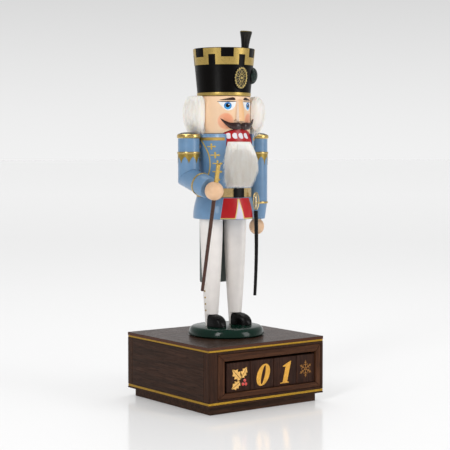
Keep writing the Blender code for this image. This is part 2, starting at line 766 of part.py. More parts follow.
def make_left_arm(torso):
    profile = [(0.0, LEFT_CUFF_FOOT), (0.0098, LEFT_CUFF_FOOT), (0.0104, LEFT_CUFF_FOOT + 0.0007),
               (0.0129, 0.2500)]
    profile += ring_bead(0.2520, 0.0139)
    profile += [(ARM_RADIUS - 0.0002, 0.2550), (ARM_RADIUS, 0.3140)]
    profile += ring_bead(0.3164, 0.0141)
    profile += [(ARM_RADIUS, 0.3190), (ARM_RADIUS, ARM_TOP), (0.0, ARM_TOP)]
    arm = place("left_arm", turned("left_arm", profile, 32), COAT_BLUE, at(ARM_X, ARM_Y))
    hand = []
    for x, z in arc((0.0, 0.0), 1.0, -90.0, 52.0, 9):
        hand.append((0.0100 * x, 0.2206 + 0.0108 * z))
    hand[0] = (0.0, hand[0][1])
    top = LEFT_CUFF_FOOT - GAP
    hand += [(0.0060, top), (0.0, top)]
    place("left_hand", turned("left_hand", hand, 24), SKIN, at(ARM_X - 0.0006, ARM_Y))
    fix_arm("left", 1.0, arm, torso)


def fix_arm(side, sign, arm, torso):
    """A wooden dowel from the coat into the arm at the shoulder."""
    middle = (sign * 0.0410, ARM_Y, DOWEL_Z)
    for name, radius, half, look in (
        (side + "_arm_dowel", DOWEL_RADIUS, 0.0095, BEECH),
        (side + "_dowel_hole", DOWEL_RADIUS + GAP, 0.0100, None),
    ):
        profile = [(0.0, -half), (radius, -half), (radius, half), (0.0, half)]
        bar = place(name, turned(name, profile, 20), look, aimed(middle, (1.0, 0.0, 0.0)))
        if look is None:
            boolean(arm, bar)
            boolean(torso, bar)


def mitre_cutter(name, keep_above):
    """Half space on one side of the elbow's mitre plane, as a large block."""
    towards_hand = Vector((0.0, -math.cos(FOREARM_DROP), -math.sin(FOREARM_DROP)))
    normal = (Vector((0.0, 0.0, 1.0)) - towards_hand).normalized()
    if keep_above:
        normal = -normal
    middle = Vector((-ARM_X, ARM_Y, ELBOW_Z)) - normal * (GAP / 2)
    return place(name, box(name, (-0.05, -0.05, 0.0), (0.05, 0.05, 0.08)), None, aimed(middle, normal))


def make_right_arm(torso):
    profile = [(0.0, 0.2650), (ARM_RADIUS, 0.2650), (ARM_RADIUS, 0.3140)]
    profile += ring_bead(0.3164, 0.0141)
    profile += [(ARM_RADIUS, 0.3190), (ARM_RADIUS, ARM_TOP), (0.0, ARM_TOP)]
    upper = place("right_upper_arm", turned("right_upper_arm", profile, 32), COAT_BLUE, at(-ARM_X, ARM_Y))
    boolean(upper, mitre_cutter("upper_arm_mitre", True))
    fix_arm("right", -1.0, upper, torso)
    towards_hand = (0.0, -math.cos(FOREARM_DROP), -math.sin(FOREARM_DROP))
    elbow = aimed((-ARM_X, ARM_Y, ELBOW_Z), towards_hand)
    sleeve = [(0.0, -0.0200), (ARM_RADIUS, -0.0200), (ARM_RADIUS, 0.0255)]
    sleeve += ring_bead(0.0285, 0.0145)
    sleeve += [(0.0139, 0.0310), (0.0137, 0.0430), (0.0124, SLEEVE_LENGTH), (0.0, SLEEVE_LENGTH)]
    forearm = place("right_forearm", turned("right_forearm", sleeve, 32), COAT_BLUE, elbow)
    boolean(forearm, mitre_cutter("forearm_mitre", False))


def make_right_hand_and_cane():
    towards_hand = Vector((0.0, -math.cos(FOREARM_DROP), -math.sin(FOREARM_DROP)))
    elbow = Vector((-ARM_X, ARM_Y, ELBOW_Z))
    flat = SLEEVE_LENGTH + GAP - HAND_DISTANCE
    reach = math.degrees(math.asin(flat / HAND_RADIUS))
    ball = [(0.0, flat)] + arc((0.0, 0.0), HAND_RADIUS, reach, 90.0, 11)
    ball[-1] = (0.0, HAND_RADIUS)
    palm = elbow + towards_hand * HAND_DISTANCE
    hand = place("right_hand", turned("right_hand", ball, 28), SKIN, aimed(palm, towards_hand))
    down = Vector((0.0, math.sin(CANE_TILT), -math.cos(CANE_TILT)))
    along = aimed(palm + Vector((CANE_SHIFT, 0.0, 0.0)), down)
    joint = -0.0015
    grip = [(0.0, -CANE_ABOVE), (0.0018, -CANE_ABOVE + 0.0002), (0.0028, -CANE_ABOVE + 0.0012),
            (0.0029, -CANE_ABOVE + 0.0030), (0.0026, -CANE_ABOVE + 0.0045), (0.0031, joint), (0.0, joint)]
    place("cane_grip", turned("cane_grip", grip, 20), GOLD_PAINT, along)
    start = joint + GAP
    stick = [(0.0, start), (0.0025, start), (0.0021, CANE_BELOW - 0.0004), (0.0017, CANE_BELOW),
             (0.0, CANE_BELOW)]
    place("cane_stick", turned("cane_stick", stick, 16), BROWN, along)
    bore = [(0.0, -0.03), (0.0034, -0.03), (0.0034, start), (0.0028, start), (0.0028, 0.03), (0.0, 0.03)]
    boolean(hand, place("cane_bore", turned("cane_bore", bore, 20), None, along))


def make_epaulette(name, x):
    """A gold rimmed cap on top of an arm."""
    foot = ARM_TOP + GAP
    profile = [(0.0, foot), (0.0138, foot), (0.0148, foot + 0.0008), (0.0150, foot + 0.0024),
               (0.0147, foot + 0.0042), (0.0133, foot + 0.0054), (0.0090, foot + 0.0069),
               (0.0040, foot + 0.0076), (0.0, foot + 0.0078)]
    place(name, turned(name, profile, 32), GOLD_PAINT, at(x, ARM_Y))


# ---- figure: sabre ----
def make_scabbard():
    """A slim sheath that bows slightly forward and back as it drops."""
    steps = 10
    around = 12
    rings = []
    spot = around_axis(SABRE_ANGLE, SABRE_RADIUS, 0.0)
    for index in range(steps + 1):
        share = index / steps
        z = SCABBARD_TOP + (SCABBARD_FOOT - SCABBARD_TOP) * share
        bow = 0.0016 * math.sin(math.pi * share) - 0.0016 * share
        wide = 0.0026 - 0.0006 * share
        ring = []
        for turn in range(around):
            angle = 2.0 * math.pi * turn / around
            ring.append((spot.x + bow + wide * math.cos(angle), spot.y + wide * math.sin(angle), z))
        rings.append(ring)
    place("scabbard", loft("scabbard", rings), BLACK)


def make_hilt():
    """A knuckle guard loop with the grip standing inside it."""
    middle = 0.2552
    steps = 24
    around = 8
    rings = []
    for index in range(steps):
        turn = 2.0 * math.pi * index / steps
        centre = (SABRE_RADIUS + 0.0002 + 0.0036 * math.cos(turn), middle + 0.0108 * math.sin(turn))
        ring = []
        for step in range(around):
            phase = 2.0 * math.pi * step / around
            out = 0.0008 * math.cos(phase)
            radius = centre[0] + out * math.cos(turn)
            z = centre[1] + out * math.sin(turn)
            sideways = Vector((math.cos(SABRE_ANGLE), math.sin(SABRE_ANGLE), 0.0)) * 0.0013 * math.sin(phase)
            ring.append(around_axis(SABRE_ANGLE, radius, z) + sideways)
        rings.append(ring)
    place("sabre_guard", loft("sabre_guard", rings, closed=True), GOLD_PAINT)
    spot = around_axis(SABRE_ANGLE, SABRE_RADIUS, 0.0)
    grip = [(0.0, middle - 0.0096), (0.0005, middle - 0.0094), (0.0011, middle - 0.0084),
            (0.0016, middle - 0.0040), (0.0015, middle + 0.0040), (0.0011, middle + 0.0084),
            (0.0005, middle + 0.0094), (0.0, middle + 0.0096)]
    place("sabre_grip", turned("sabre_grip", grip, 16), BLACK, at(spot.x, spot.y))


def make_box():
    lid = make_box_shell()
    make_window_frame()
    make_tray()
    make_blocks()
    return lid


def make_figure(lid):
    disc = make_disc()
    make_screws(lid, disc)
    skirt = make_skirt()
    for side, sign, toe_shift in (("right", -1.0, RIGHT_TOE_SHIFT), ("left", 1.0, LEFT_TOE_SHIFT)):
        make_leg(side + "_leg", sign * LEG_X, disc, skirt)
        make_shoe(side + "_shoe", sign * LEG_X, toe_shift)
        make_epaulette(side + "_epaulette", sign * ARM_X)
    torso = make_torso()
    make_belt()
    make_buckle()
    lever = make_lever()
    make_pivot(torso, lever, make_beard())
    make_head()
    make_nose()
    make_moustache()
    make_hair()
    hat = make_hat()
    make_plume(hat)
    make_cockade()
    make_emblem()
    make_left_arm(torso)
    make_right_arm(torso)
    make_right_hand_and_cane()
    make_scabbard()
    make_hilt()


clear_scene()
make_figure(make_box())
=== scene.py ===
"""Looks for the nutcracker figure on its calendar box: paint, gold trim, fur, numerals, set."""

import functools
import math
import random

import bmesh
import bpy
import numpy as np
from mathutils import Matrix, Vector


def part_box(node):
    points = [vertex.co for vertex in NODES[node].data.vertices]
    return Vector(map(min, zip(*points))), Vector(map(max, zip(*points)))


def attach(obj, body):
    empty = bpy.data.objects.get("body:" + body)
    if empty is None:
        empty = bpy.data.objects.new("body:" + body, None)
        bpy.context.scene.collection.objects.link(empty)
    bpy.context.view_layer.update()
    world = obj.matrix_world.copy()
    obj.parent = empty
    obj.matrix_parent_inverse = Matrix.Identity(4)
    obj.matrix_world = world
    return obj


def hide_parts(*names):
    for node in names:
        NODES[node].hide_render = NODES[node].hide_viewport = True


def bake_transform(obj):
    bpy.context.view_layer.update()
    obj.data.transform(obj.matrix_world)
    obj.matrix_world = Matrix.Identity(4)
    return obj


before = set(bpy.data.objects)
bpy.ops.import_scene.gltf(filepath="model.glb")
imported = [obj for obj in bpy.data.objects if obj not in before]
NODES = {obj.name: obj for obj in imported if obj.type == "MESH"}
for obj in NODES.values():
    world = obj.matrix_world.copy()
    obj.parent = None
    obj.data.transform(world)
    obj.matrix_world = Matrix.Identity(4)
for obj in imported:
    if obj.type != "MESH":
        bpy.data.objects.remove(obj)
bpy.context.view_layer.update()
MM = 0.001
STAND = "stand"
JAW = "jaw"
# Angles are written for the figure's right, and mirrored for its left.
SIDES = (("right", 1), ("left", -1))
# Stand-offs of a painted shape's back and face, in millimetres.
BLOCK_PAINT = (0.02, 0.25)
GOLD_PAINT = (0.03, 0.3)


@functools.cache
def extent(node):
    """Lowest and highest corner of a CAD node, looked up once."""
    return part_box(node)


# ---- colours ----
def tone(colour):
    """A linear colour from a hex code; one that is linear already stays as it is."""
    if not isinstance(colour, str):
        return colour
    values = [int(colour[i:i + 2], 16) / 255 for i in (1, 3, 5)]
    return tuple(v / 12.92 if v <= 0.04045 else ((v + 0.055) / 1.055) ** 2.4 for v in values)


def shade(colour, factor):
    return tuple(min(1.0, c * factor) for c in tone(colour))


BLUE = "#6A8FB3"
PALE_BLUE = "#7FA4C8"
GOLD = "#C9A048"
WARM_BLACK = "#141210"
SKIN = "#F5CFA9"
RED = "#B9131A"
CREAM = "#F1ECE4"
BROWN = "#2E1613"
GREEN = "#02281D"
WALNUT = "#2F2018"


# ---- node materials ----
class Graph:
    """Short ways to add shader nodes to a tree."""

    def __init__(self, tree):
        self.tree = tree

    def feed(self, socket, value):
        """Link a socket to another one, or give it a value."""
        if isinstance(value, bpy.types.NodeSocket):
            self.tree.links.new(value, socket)
        else:
            socket.default_value = value

    def node(self, kind, inputs=None, **settings):
        made = self.tree.nodes.new("ShaderNode" + kind)
        for key, value in settings.items():
            setattr(made, key, value)
        for key, value in (inputs or {}).items():
            self.feed(made.inputs[key], value)
        return made

    def spread(self, value, low, high, to_low=0.0, to_high=1.0, smooth=False):
        """The range from low to high stretched to another one."""
        kind = "SMOOTHSTEP" if smooth else "LINEAR"
        inputs = {"Value": value, "From Min": low, "From Max": high, "To Min": to_low, "To Max": to_high}
        return self.node("MapRange", inputs, interpolation_type=kind).outputs[0]

    def mix(self, share, a, b):
        """Colour a where share is 0 and b where it is 1."""
        made = self.node("Mix", {0: share}, data_type="RGBA")
        for index, value in ((6, a), (7, b)):
            linked = isinstance(value, bpy.types.NodeSocket)
            self.feed(made.inputs[index], value if linked else (*tone(value), 1.0))
        return made.outputs[2]


class Look(Graph):
    """A Principled material, with short ways to add pattern to it."""

    def __init__(self, name, colour, rough=0.4, metal=0.0, coat=0.0, specular=0.5):
        self.material = bpy.data.materials.new(name)
        self.material.use_nodes = True
        super().__init__(self.material.node_tree)
        self.shader = self.tree.nodes["Principled BSDF"]
        self.set("Base Color", (*tone(colour), 1.0))
        self.set("Roughness", rough)
        self.set("Metallic", metal)
        self.set("Coat Weight", coat)
        self.set("Coat Roughness", 0.12)
        self.set("Specular IOR Level", specular)
        self.here = self.node("TexCoord").outputs["Object"]

    def set(self, socket, value):
        self.feed(self.shader.inputs[socket], value)

    def paint(self, colour):
        self.set("Base Color", colour)

    def noise(self, size, detail=3.0, stretch=(1.0, 1.0, 1.0)):
        """Noise with features of about size metres; stretch below 1 draws them out."""
        where = self.node("Mapping", {"Vector": self.here, "Scale": stretch}).outputs[0]
        inputs = {"Vector": where, "Scale": 1.0 / size, "Detail": detail}
        return self.node("TexNoise", inputs).outputs["Fac"]

    def patches(self, size, edge=0.3, detail=3.0, stretch=(1.0, 1.0, 1.0)):
        """Noise whose middle range, from edge to 1 - edge, is stretched to 0 and 1."""
        return self.spread(self.noise(size, detail, stretch), edge, 1.0 - edge)

    def math(self, operation, a, b=0.0):
        return self.node("Math", {0: a, 1: b}, operation=operation).outputs[0]

    def height(self):
        return self.node("SeparateXYZ", {0: self.here}).outputs["Z"]

    def from_point(self, point):
        """Distance from a point in the row frame."""
        return self.node("VectorMath", {0: self.here, 1: point}, operation="DISTANCE").outputs["Value"]

    def bump(self, value, depth, strength=1.0):
        inputs = {"Height": value, "Distance": depth, "Strength": strength}
        self.set("Normal", self.node("Bump", inputs).outputs[0])


def mottled(look, colour, amount=0.07, size=0.009):
    """A colour with slow drift and a fine speckle, as brushed paint has."""
    slow = look.patches(size)
    fine = look.patches(0.0009, detail=2.0)
    base = look.mix(slow, shade(colour, 1.0 - amount), shade(colour, 1.0 + amount))
    return look.mix(look.math("MULTIPLY", fine, amount), base, shade(colour, 0.75))


def lacquer(name, colour, rough=0.35, coat=0.3, amount=0.07, turned=True, specular=0.5):
    """Brushed paint on turned or flat wood."""
    look = Look(name, colour, rough, coat=coat, specular=specular)
    look.paint(mottled(look, colour, amount))
    look.set("Roughness", look.spread(look.noise(0.004), 0.3, 0.7, rough - 0.05, rough + 0.07))
    stretch = (0.06, 0.06, 1.0) if turned else (1.0, 1.0, 1.0)
    look.bump(look.noise(0.0008, 3.0, stretch), 0.00006, 0.35)
    return look


def gilt(name, colour=GOLD, rough=0.32, grain=0.0007, metal=0.8):
    """Metallic gold paint with a fine flake and slight unevenness."""
    look = Look(name, colour, rough, metal=metal)
    flake = look.patches(grain, 0.35, 2.0)
    drift = look.patches(0.006)
    base = look.mix(drift, shade(colour, 0.86), shade(colour, 1.1))
    look.paint(look.mix(look.math("MULTIPLY", flake, 0.3), base, shade(colour, 0.66)))
    look.set("Roughness", look.spread(flake, 0.0, 1.0, rough - 0.07, rough + 0.1))
    look.bump(look.noise(grain, 2.0), 0.00004, 0.4)
    return look


def timber(name, dark, light, along, rough=0.42, coat=0.0):
    """Stained open-pored wood with its grain along one axis."""
    look = Look(name, dark, rough, coat=coat, specular=0.08)
    stretch = [1.0, 1.0, 1.0]
    stretch["XYZ".index(along)] = 0.045
    figure = look.patches(0.0042, 0.32, 5.0, stretch)
    fibre = look.patches(0.0011, 0.35, 3.0, stretch)
    pores = look.spread(look.noise(0.0006, 1.0, stretch), 0.6, 0.68)
    base = look.mix(figure, dark, light)
    base = look.mix(look.math("MULTIPLY", fibre, 0.45), base, shade(dark, 0.7))
    base = look.mix(look.math("MULTIPLY", pores, 0.75), base, shade(dark, 0.3))
    look.paint(base)
    look.set("Roughness", look.spread(fibre, 0.0, 1.0, rough - 0.05, rough + 0.12))
    depth = look.math("SUBTRACT", look.math("MULTIPLY", fibre, 0.3), pores)
    look.bump(depth, 0.00012, 0.6)
    return look


# ---- CAD nodes: shading and finish ----
def smoothing():
    """Geometry nodes that shade smooth and keep edges over 32 degrees sharp."""
    group = bpy.data.node_groups.new("shade_by_angle", "GeometryNodeTree")
    for way in ("INPUT", "OUTPUT"):
        group.interface.new_socket("Geometry", in_out=way, socket_type="NodeSocketGeometry")
    kinds = ("NodeGroupInput", "NodeGroupOutput", "GeometryNodeSetShadeSmooth", "GeometryNodeSetShadeSmooth",
             "GeometryNodeInputMeshEdgeAngle", "FunctionNodeCompare")
    enter, leave, smooth, sharp, angle, over = [group.nodes.new(kind) for kind in kinds]
    sharp.domain = "EDGE"
    sharp.inputs["Shade Smooth"].default_value = False
    over.data_type = "FLOAT"
    over.operation = "GREATER_THAN"
    over.inputs["B"].default_value = math.radians(32.0)
    link = group.links.new
    link(enter.outputs[0], smooth.inputs["Geometry"])
    link(smooth.outputs[0], sharp.inputs["Geometry"])
    link(angle.outputs["Unsigned Angle"], over.inputs["A"])
    link(over.outputs["Result"], sharp.inputs["Selection"])
    link(sharp.outputs[0], leave.inputs[0])
    return group


SMOOTHING = smoothing()


def finish(look, *nodes):
    """Give CAD nodes a finish, with their round sides shaded smooth."""
    for name in nodes:
        item = NODES[name]
        item.data.materials.clear()
        item.data.materials.append(look.material)
        old = item.data.attributes.get("custom_normal")
        if old is not None:
            item.data.attributes.remove(old)
        weld = item.modifiers.new("weld", "WELD")
        weld.merge_threshold = 0.000002
        item.modifiers.new("shading", "NODES").node_group = SMOOTHING


# ---- surfaces that trim lies on ----
class Turned:
    """The side of a round CAD node: angle in degrees from the front, height, stand-off.

    Levels narrower than keep times the widest one are left out.
    """

    def __init__(self, node, axis=None, keep=0.8):
        low, high = extent(axis or node)
        self.x = (low.x + high.x) / 2
        self.y = (low.y + high.y) / 2
        levels = {}
        mesh = NODES[node].data
        for face in mesh.polygons:
            outwards = Vector((face.center.x - self.x, face.center.y - self.y, 0.0)).normalized()
            if face.normal.dot(outwards) < 0.35:
                continue
            for index in face.vertices:
                spot = mesh.vertices[index].co
                reach = math.hypot(spot.x - self.x, spot.y - self.y)
                level = round(spot.z, 5)
                levels[level] = max(levels.get(level, 0.0), reach)
        widest = max(levels.values())
        self.levels, self.reaches = zip(*sorted(item for item in levels.items() if item[1] > keep * widest))

    def radius(self, z):
        return float(np.interp(z, self.levels, self.reaches))

    def spot(self, angle, z, out=0.0):
        turn = math.radians(angle)
        reach = self.radius(z) + out
        return Vector((self.x + reach * math.sin(turn), self.y - reach * math.cos(turn), z))


class Flat:
    """A plane facing -Y: across in metres from its middle, height, stand-off."""

    def __init__(self, node):
        low, high = extent(node)
        self.x = (low.x + high.x) / 2
        self.z = (low.z + high.z) / 2
        self.y = low.y

    def spot(self, across, z, out=0.0):
        return Vector((self.x + across, self.y - out, self.z + z))


# ---- shapes: each that makes a solid returns (points, faces) ----
# Stand-offs and the widths and heights of trim come in millimetres.
def line(start, end, count):
    """Evenly spaced points from start to end."""
    return [(u, v) for u, v in np.linspace(start, end, count)]


def circle(count):
    """Cosine and sine of even steps round a circle."""
    angles = [2 * math.pi * index / count for index in range(count)]
    return [(math.cos(angle), math.sin(angle)) for angle in angles]


def plate(outline, skin, low, high, across=3.0, up=2.5 * MM):
    """A thin solid with a flat outline laid on a skin, from stand-off low to high.

    It is cut into steps of across and up at most, unless they are None, so that it can bend.
    """
    shape = bmesh.new()
    corners = [shape.verts.new((u, v, 0.0)) for u, v in outline]
    bmesh.ops.triangulate(shape, faces=[shape.faces.new(corners)])
    for axis, step in ((0, across), (1, up)):
        values = [corner[axis] for corner in outline]
        low_end, high_end = min(values), max(values)
        count = int((high_end - low_end) / step) if step else 0
        way = Vector((1 - axis, axis, 0))
        for cut in np.linspace(low_end, high_end, count + 2)[1:-1]:
            every = shape.verts[:] + shape.edges[:] + shape.faces[:]
            bmesh.ops.bisect_plane(shape, geom=every, plane_co=way * cut, plane_no=way)
    shape.verts.index_update()
    flat = [vertex.co.copy() for vertex in shape.verts]
    faces = [[vertex.index for vertex in face.verts] for face in shape.faces]
    rim = [[v.index for v in edge.verts] for edge in shape.edges if len(edge.link_faces) == 1]
    shape.free()
    return thicken(flat, faces, rim, skin, low, high)


def thicken(flat, faces, rim, skin, low, high):
    """Lift a flat mesh onto a skin twice and close the gap round its rim."""
    total = len(flat)
    points = [skin.spot(p.x, p.y, out * MM) for out in (low, high) for p in flat]
    closed = [list(reversed(face)) for face in faces]
    closed += [[index + total for index in face] for face in faces]
    closed += [[a, b, b + total, a + total] for a, b in rim]
    return points, closed


def strip(lower, upper, skin, low, high, closed=False):
    """A thin solid between two lines of equal length laid on a skin; closed makes it a ring."""
    count = len(lower)
    flat = [Vector((u, v, 0.0)) for u, v in list(lower) + list(upper)]
    faces = []
    rim = []
    for index in range(count if closed else count - 1):
        after = (index + 1) % count
        faces.append([index, after, after + count, index + count])
        rim += [[index, after], [after + count, index + count]]
    if not closed:
        rim += [[count, 0], [count - 1, 2 * count - 1]]
    return thicken(flat, faces, rim, skin, low, high)


def cord(path, skin, width, height, closed=False, taper=None, sides=8):
    """A raised line along a path on a skin, with its foot sunk into it."""
    spots = [skin.spot(u, v) for u, v in path]
    outer = [skin.spot(u, v, MM) for u, v in path]
    width, height = width * MM, height * MM
    count = len(spots)
    points = []
    for index in range(count):
        before = spots[(index - 1) % count] if closed or index else spots[0]
        after = spots[(index + 1) % count] if closed or index < count - 1 else spots[-1]
        normal = (outer[index] - spots[index]).normalized()
        side = (after - before).normalized().cross(normal).normalized()
        share = taper(index / (count - 1)) if taper else 1.0
        for aside, up in circle(sides):
            rise = max(up, -0.35) * height * (0.4 + 0.6 * share)
            points.append(spots[index] + side * aside * width / 2 * share + normal * rise)
    return points, tube_faces(count, sides, closed)


def tube_faces(count, sides, closed=False):
    """Faces of a tube from count rings of points; closed joins its ends."""
    faces = []
    for index in range(count if closed else count - 1):
        after = (index + 1) % count
        for turn in range(sides):
            turned = (turn + 1) % sides
            faces.append([index * sides + turn, index * sides + turned,
                          after * sides + turned, after * sides + turn])
    if not closed:
        faces.append(list(range(sides)))
        faces.append([(count - 1) * sides + turn for turn in reversed(range(sides))])
    return faces


def hoop(profile, centre, axis=(0.0, 0.0, 1.0), segments=48):
    """A closed (radius, along) profile turned about an axis through centre."""
    turn = Vector(axis).to_track_quat("Z", "Y").to_matrix()
    points = []
    for x, y in circle(segments):
        for radius, along in profile:
            points.append(Vector(centre) + turn @ Vector((radius * x, radius * y, along)))
    return points, tube_faces(segments, len(profile), closed=True)


def stud(skin, u, v, radius, height, sides=12):
    """A small dome on a skin."""
    centre = skin.spot(u, v)
    normal = (skin.spot(u, v, MM) - centre).normalized()
    radius, height = radius * MM, height * MM
    across = normal.orthogonal().normalized()
    up = normal.cross(across)
    points = []
    for rise in (-0.5, 0.0, 0.45, 0.8, 0.97):
        reach = radius * math.sqrt(1 - max(0.0, rise) ** 2)
        for x, y in circle(sides):
            points.append(centre + (across * x + up * y) * reach + normal * rise * height)
    return points, tube_faces(5, sides)


def place(name, data):
    """A new object in the scene."""
    item = bpy.data.objects.new(name, data)
    bpy.context.scene.collection.objects.link(item)
    return item


def piece(name, look, parts, body=STAND, sharp=30.0):
    """Join parts into one object that rides on a body."""
    points = []
    faces = []
    for part_points, part_faces in parts:
        start = len(points)
        points += part_points
        faces += [[index + start for index in face] for face in part_faces]
    mesh = bpy.data.meshes.new(name)
    mesh.from_pydata([tuple(p) for p in points], [], faces)
    shape = bmesh.new()
    shape.from_mesh(mesh)
    bmesh.ops.recalc_face_normals(shape, faces=shape.faces)
    shape.to_mesh(mesh)
    shape.free()
    mesh.shade_smooth()
    mesh.set_sharp_from_angle(angle=math.radians(sharp))
    mesh.materials.append(look.material)
    item = place(name, mesh)
    if body:
        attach(item, body)
    return item


def ellipse(u, v, half_u, half_v, count=32, start=0.0, end=360.0):
    """Points round an ellipse, the last left out when it is a whole one."""
    whole = end - start >= 360.0
    steps = count if whole else count - 1
    points = []
    for index in range(count):
        angle = math.radians(start + (end - start) * index / steps)
        points.append((u + half_u * math.cos(angle), v + half_v * math.sin(angle)))
    return points


def sided(points, sign):
    """Points as they are for sign 1, or mirrored for sign -1."""
    return [(sign * u, v) for u, v in points]


def smooth_path(points, steps=8):
    """A Catmull-Rom curve through points."""
    ends = [points[0]] + list(points) + [points[-1]]
    path = []
    for index in range(1, len(ends) - 2):
        a, b, c, d = ends[index - 1:index + 3]
        for step in range(steps):
            t = step / steps
            path.append(tuple(
                0.5 * (2 * q + (r - p) * t + (2 * p - 5 * q + 4 * r - s) * t * t
                       + (3 * q - p - 3 * r + s) * t ** 3)
                for p, q, r, s in zip(a, b, c, d)))
    path.append(tuple(points[-1]))
    return path


# ---- box ----
def finish_box():
    finish(timber("side_walnut", WALNUT, "#442D22", "Y"), "left_panel", "right_panel")
    finish(timber("front_walnut", "#2F1F17", "#482D20", "Z"), "front_panel")
    finish(timber("board_walnut", WALNUT, "#4E3324", "X"), "back_panel", "base_board", "plinth")
    top = timber("lid_walnut_and_edge_highlight", "#35231B", "#50372B", "X", rough=0.28, coat=0.1)
    lid = extent("top_board")[1].z
    # The lid board's sides, below its top face, are painted a flat lighter, warmer brown: a painted highlight
    # along the lid's edge.
    edge = top.spread(top.height(), lid - 0.7 * MM, lid - 0.4 * MM)
    grain = top.shader.inputs["Base Color"].links[0].from_socket
    top.set("Base Color", top.mix(edge, "#4C2B1D", grain))
    finish(top, "top_board")
    warm = ("#3C2418", "#5C3A26")
    finish(timber("rail_wood", *warm, "X"), "frame_top", "frame_bottom")
    finish(timber("stile_wood", *warm, "Z"), "frame_left", "frame_right")
    # The tray inside the recess is painted near black: painted shade inside the recess.
    shadow = timber("tray_wood", "#150E0B", "#201510", "X", rough=0.6)
    finish(shadow, "tray_floor", "tray_ceiling", "tray_left", "tray_right", "tray_back")
    blocks = timber("block_wood", "#2E1D17", "#452B20", "Z")
    finish(blocks, "holly_block", "tens_block", "ones_block", "ornament_block")
    strips = gilt("strip_gold", "#A8801A", 0.38, metal=0.6)
    finish(strips, "lower_gold_strip", "upper_gold_strip")


def slanted(outline, slope):
    """Lean an outline to the right, as italic numerals do."""
    return [(u + slope * v, v) for u, v in outline]


def numeral_zero(skin):
    """A slanted ring, thin above and below."""
    shapes = []
    for half_u, half_v in ((2.6, 11.6), (10.0, 13.4)):
        oval = slanted(ellipse(0, 0, half_u * MM, half_v * MM, 56), 0.26)
        shapes.append([(u + 2.0 * MM, v - 0.9 * MM) for u, v in oval])
    return [strip(*shapes, skin, *BLOCK_PAINT, closed=True)]


def ribbon(rows, skin, slope):
    """A flat shape from rows of (height, left, right) in mm, leaned over."""
    left = slanted([(a * MM, v * MM) for v, a, _ in rows], slope)
    right = slanted([(b * MM, v * MM) for v, _, b in rows], slope)
    return strip(left, right, skin, *BLOCK_PAINT)


def numeral_one(skin):
    """A slab foot, a thick stem and a pointed flag."""
    foot = [(-14.8, -4.4, 10.0), (-14.0, -4.2, 9.8), (-13.3, -0.8, 7.2)]
    stem = [(-13.4, -0.6, 6.6), (0.0, -0.6, 6.6), (8.0, -0.6, 6.6), (12.2, 4.8, 6.6)]
    flag = [(6.0, -5.2, -0.5), (7.2, -5.0, -0.5), (9.2, -1.0, 0.2), (11.4, 3.2, 4.0)]
    return [ribbon(rows, skin, 0.25) for rows in (foot, stem, flag)]


def holly_leaf(root, tip, half):
    """A spiky leaf between two points, as its two halves either side of a dark vein."""
    run = Vector(tip) - Vector(root)
    side = Vector((-run.y, run.x)).normalized()
    edge = [(0.04, 0.1), (0.16, 0.75), (0.25, 0.45), (0.42, 1.0), (0.52, 0.55), (0.68, 0.85),
            (0.76, 0.4), (0.98, 0.06)]
    halves = []
    for sign in (1, -1):
        points = [Vector(root) + run * 0.05 + side * sign * 0.35]
        points += [Vector(root) + run * t + side * sign * w * half for t, w in edge]
        points.append(Vector(root) + run * 0.9 + side * sign * 0.3)
        halves.append([(p.x * MM, p.y * MM) for p in points])
    return halves


def make_holly(skin):
    """Three leaves, each from its root to its tip, and three berries."""
    leaves = []
    for leaf in (((4.0, -3.4), (-9.4, 10.2), 6.6), ((4.6, -1.6), (13.2, 11.6), 5.2),
                 ((3.0, -6.2), (-10.6, -14.0), 5.6)):
        leaves += [plate(half, skin, *BLOCK_PAINT, None, None) for half in holly_leaf(*leaf)]
    gold = gilt("holly_gold", "#F0BC68", 0.45, metal=0.3)
    piece("holly_leaves", gold, leaves, "block_holly")
    berries = [stud(skin, x * MM, z * MM, 2.1, 0.7, 16)
               for x, z in ((10.0, -5.0), (7.2, -9.4), (11.6, -9.6))]
    berry = lacquer("berry_red", "#D2301E", 0.25, 0.6, turned=False)
    piece("holly_berries", berry, berries, "block_holly")


def make_snowflake(skin):
    """A six-armed star with side branches: each line's start, end and lean off its arm."""
    lines = ((0.6, 10.6, 0), (4.4, 7.8, 55), (4.4, 7.8, -55), (7.4, 9.6, 55), (7.4, 9.6, -55))
    parts = []
    for index in range(6):
        turn = math.radians(60 * index + 90)
        along = Vector((math.cos(turn), math.sin(turn)))
        for start, end, lean in lines:
            root = along * start
            bend = turn + math.radians(lean)
            tip = root + Vector((math.cos(bend), math.sin(bend))) * (end - start)
            path = line(root * MM, tip * MM, 5)
            parts.append(cord(path, skin, 1.0, 0.24, taper=lambda t: 1.0 - 0.35 * t, sides=6))
    look = gilt("snowflake_gold", "#A8722C", 0.45, metal=0.3)
    piece("snowflake", look, parts, "block_ornament")


def trim_blocks():
    gold = gilt("numeral_gold", "#E4A83C", 0.45, grain=0.0005, metal=0.3)
    piece("numeral_tens", gold, numeral_zero(Flat("tens_block")), "block_tens")
    piece("numeral_ones", gold, numeral_one(Flat("ones_block")), "block_ones")
    make_holly(Flat("holly_block"))
    make_snowflake(Flat("ornament_block"))


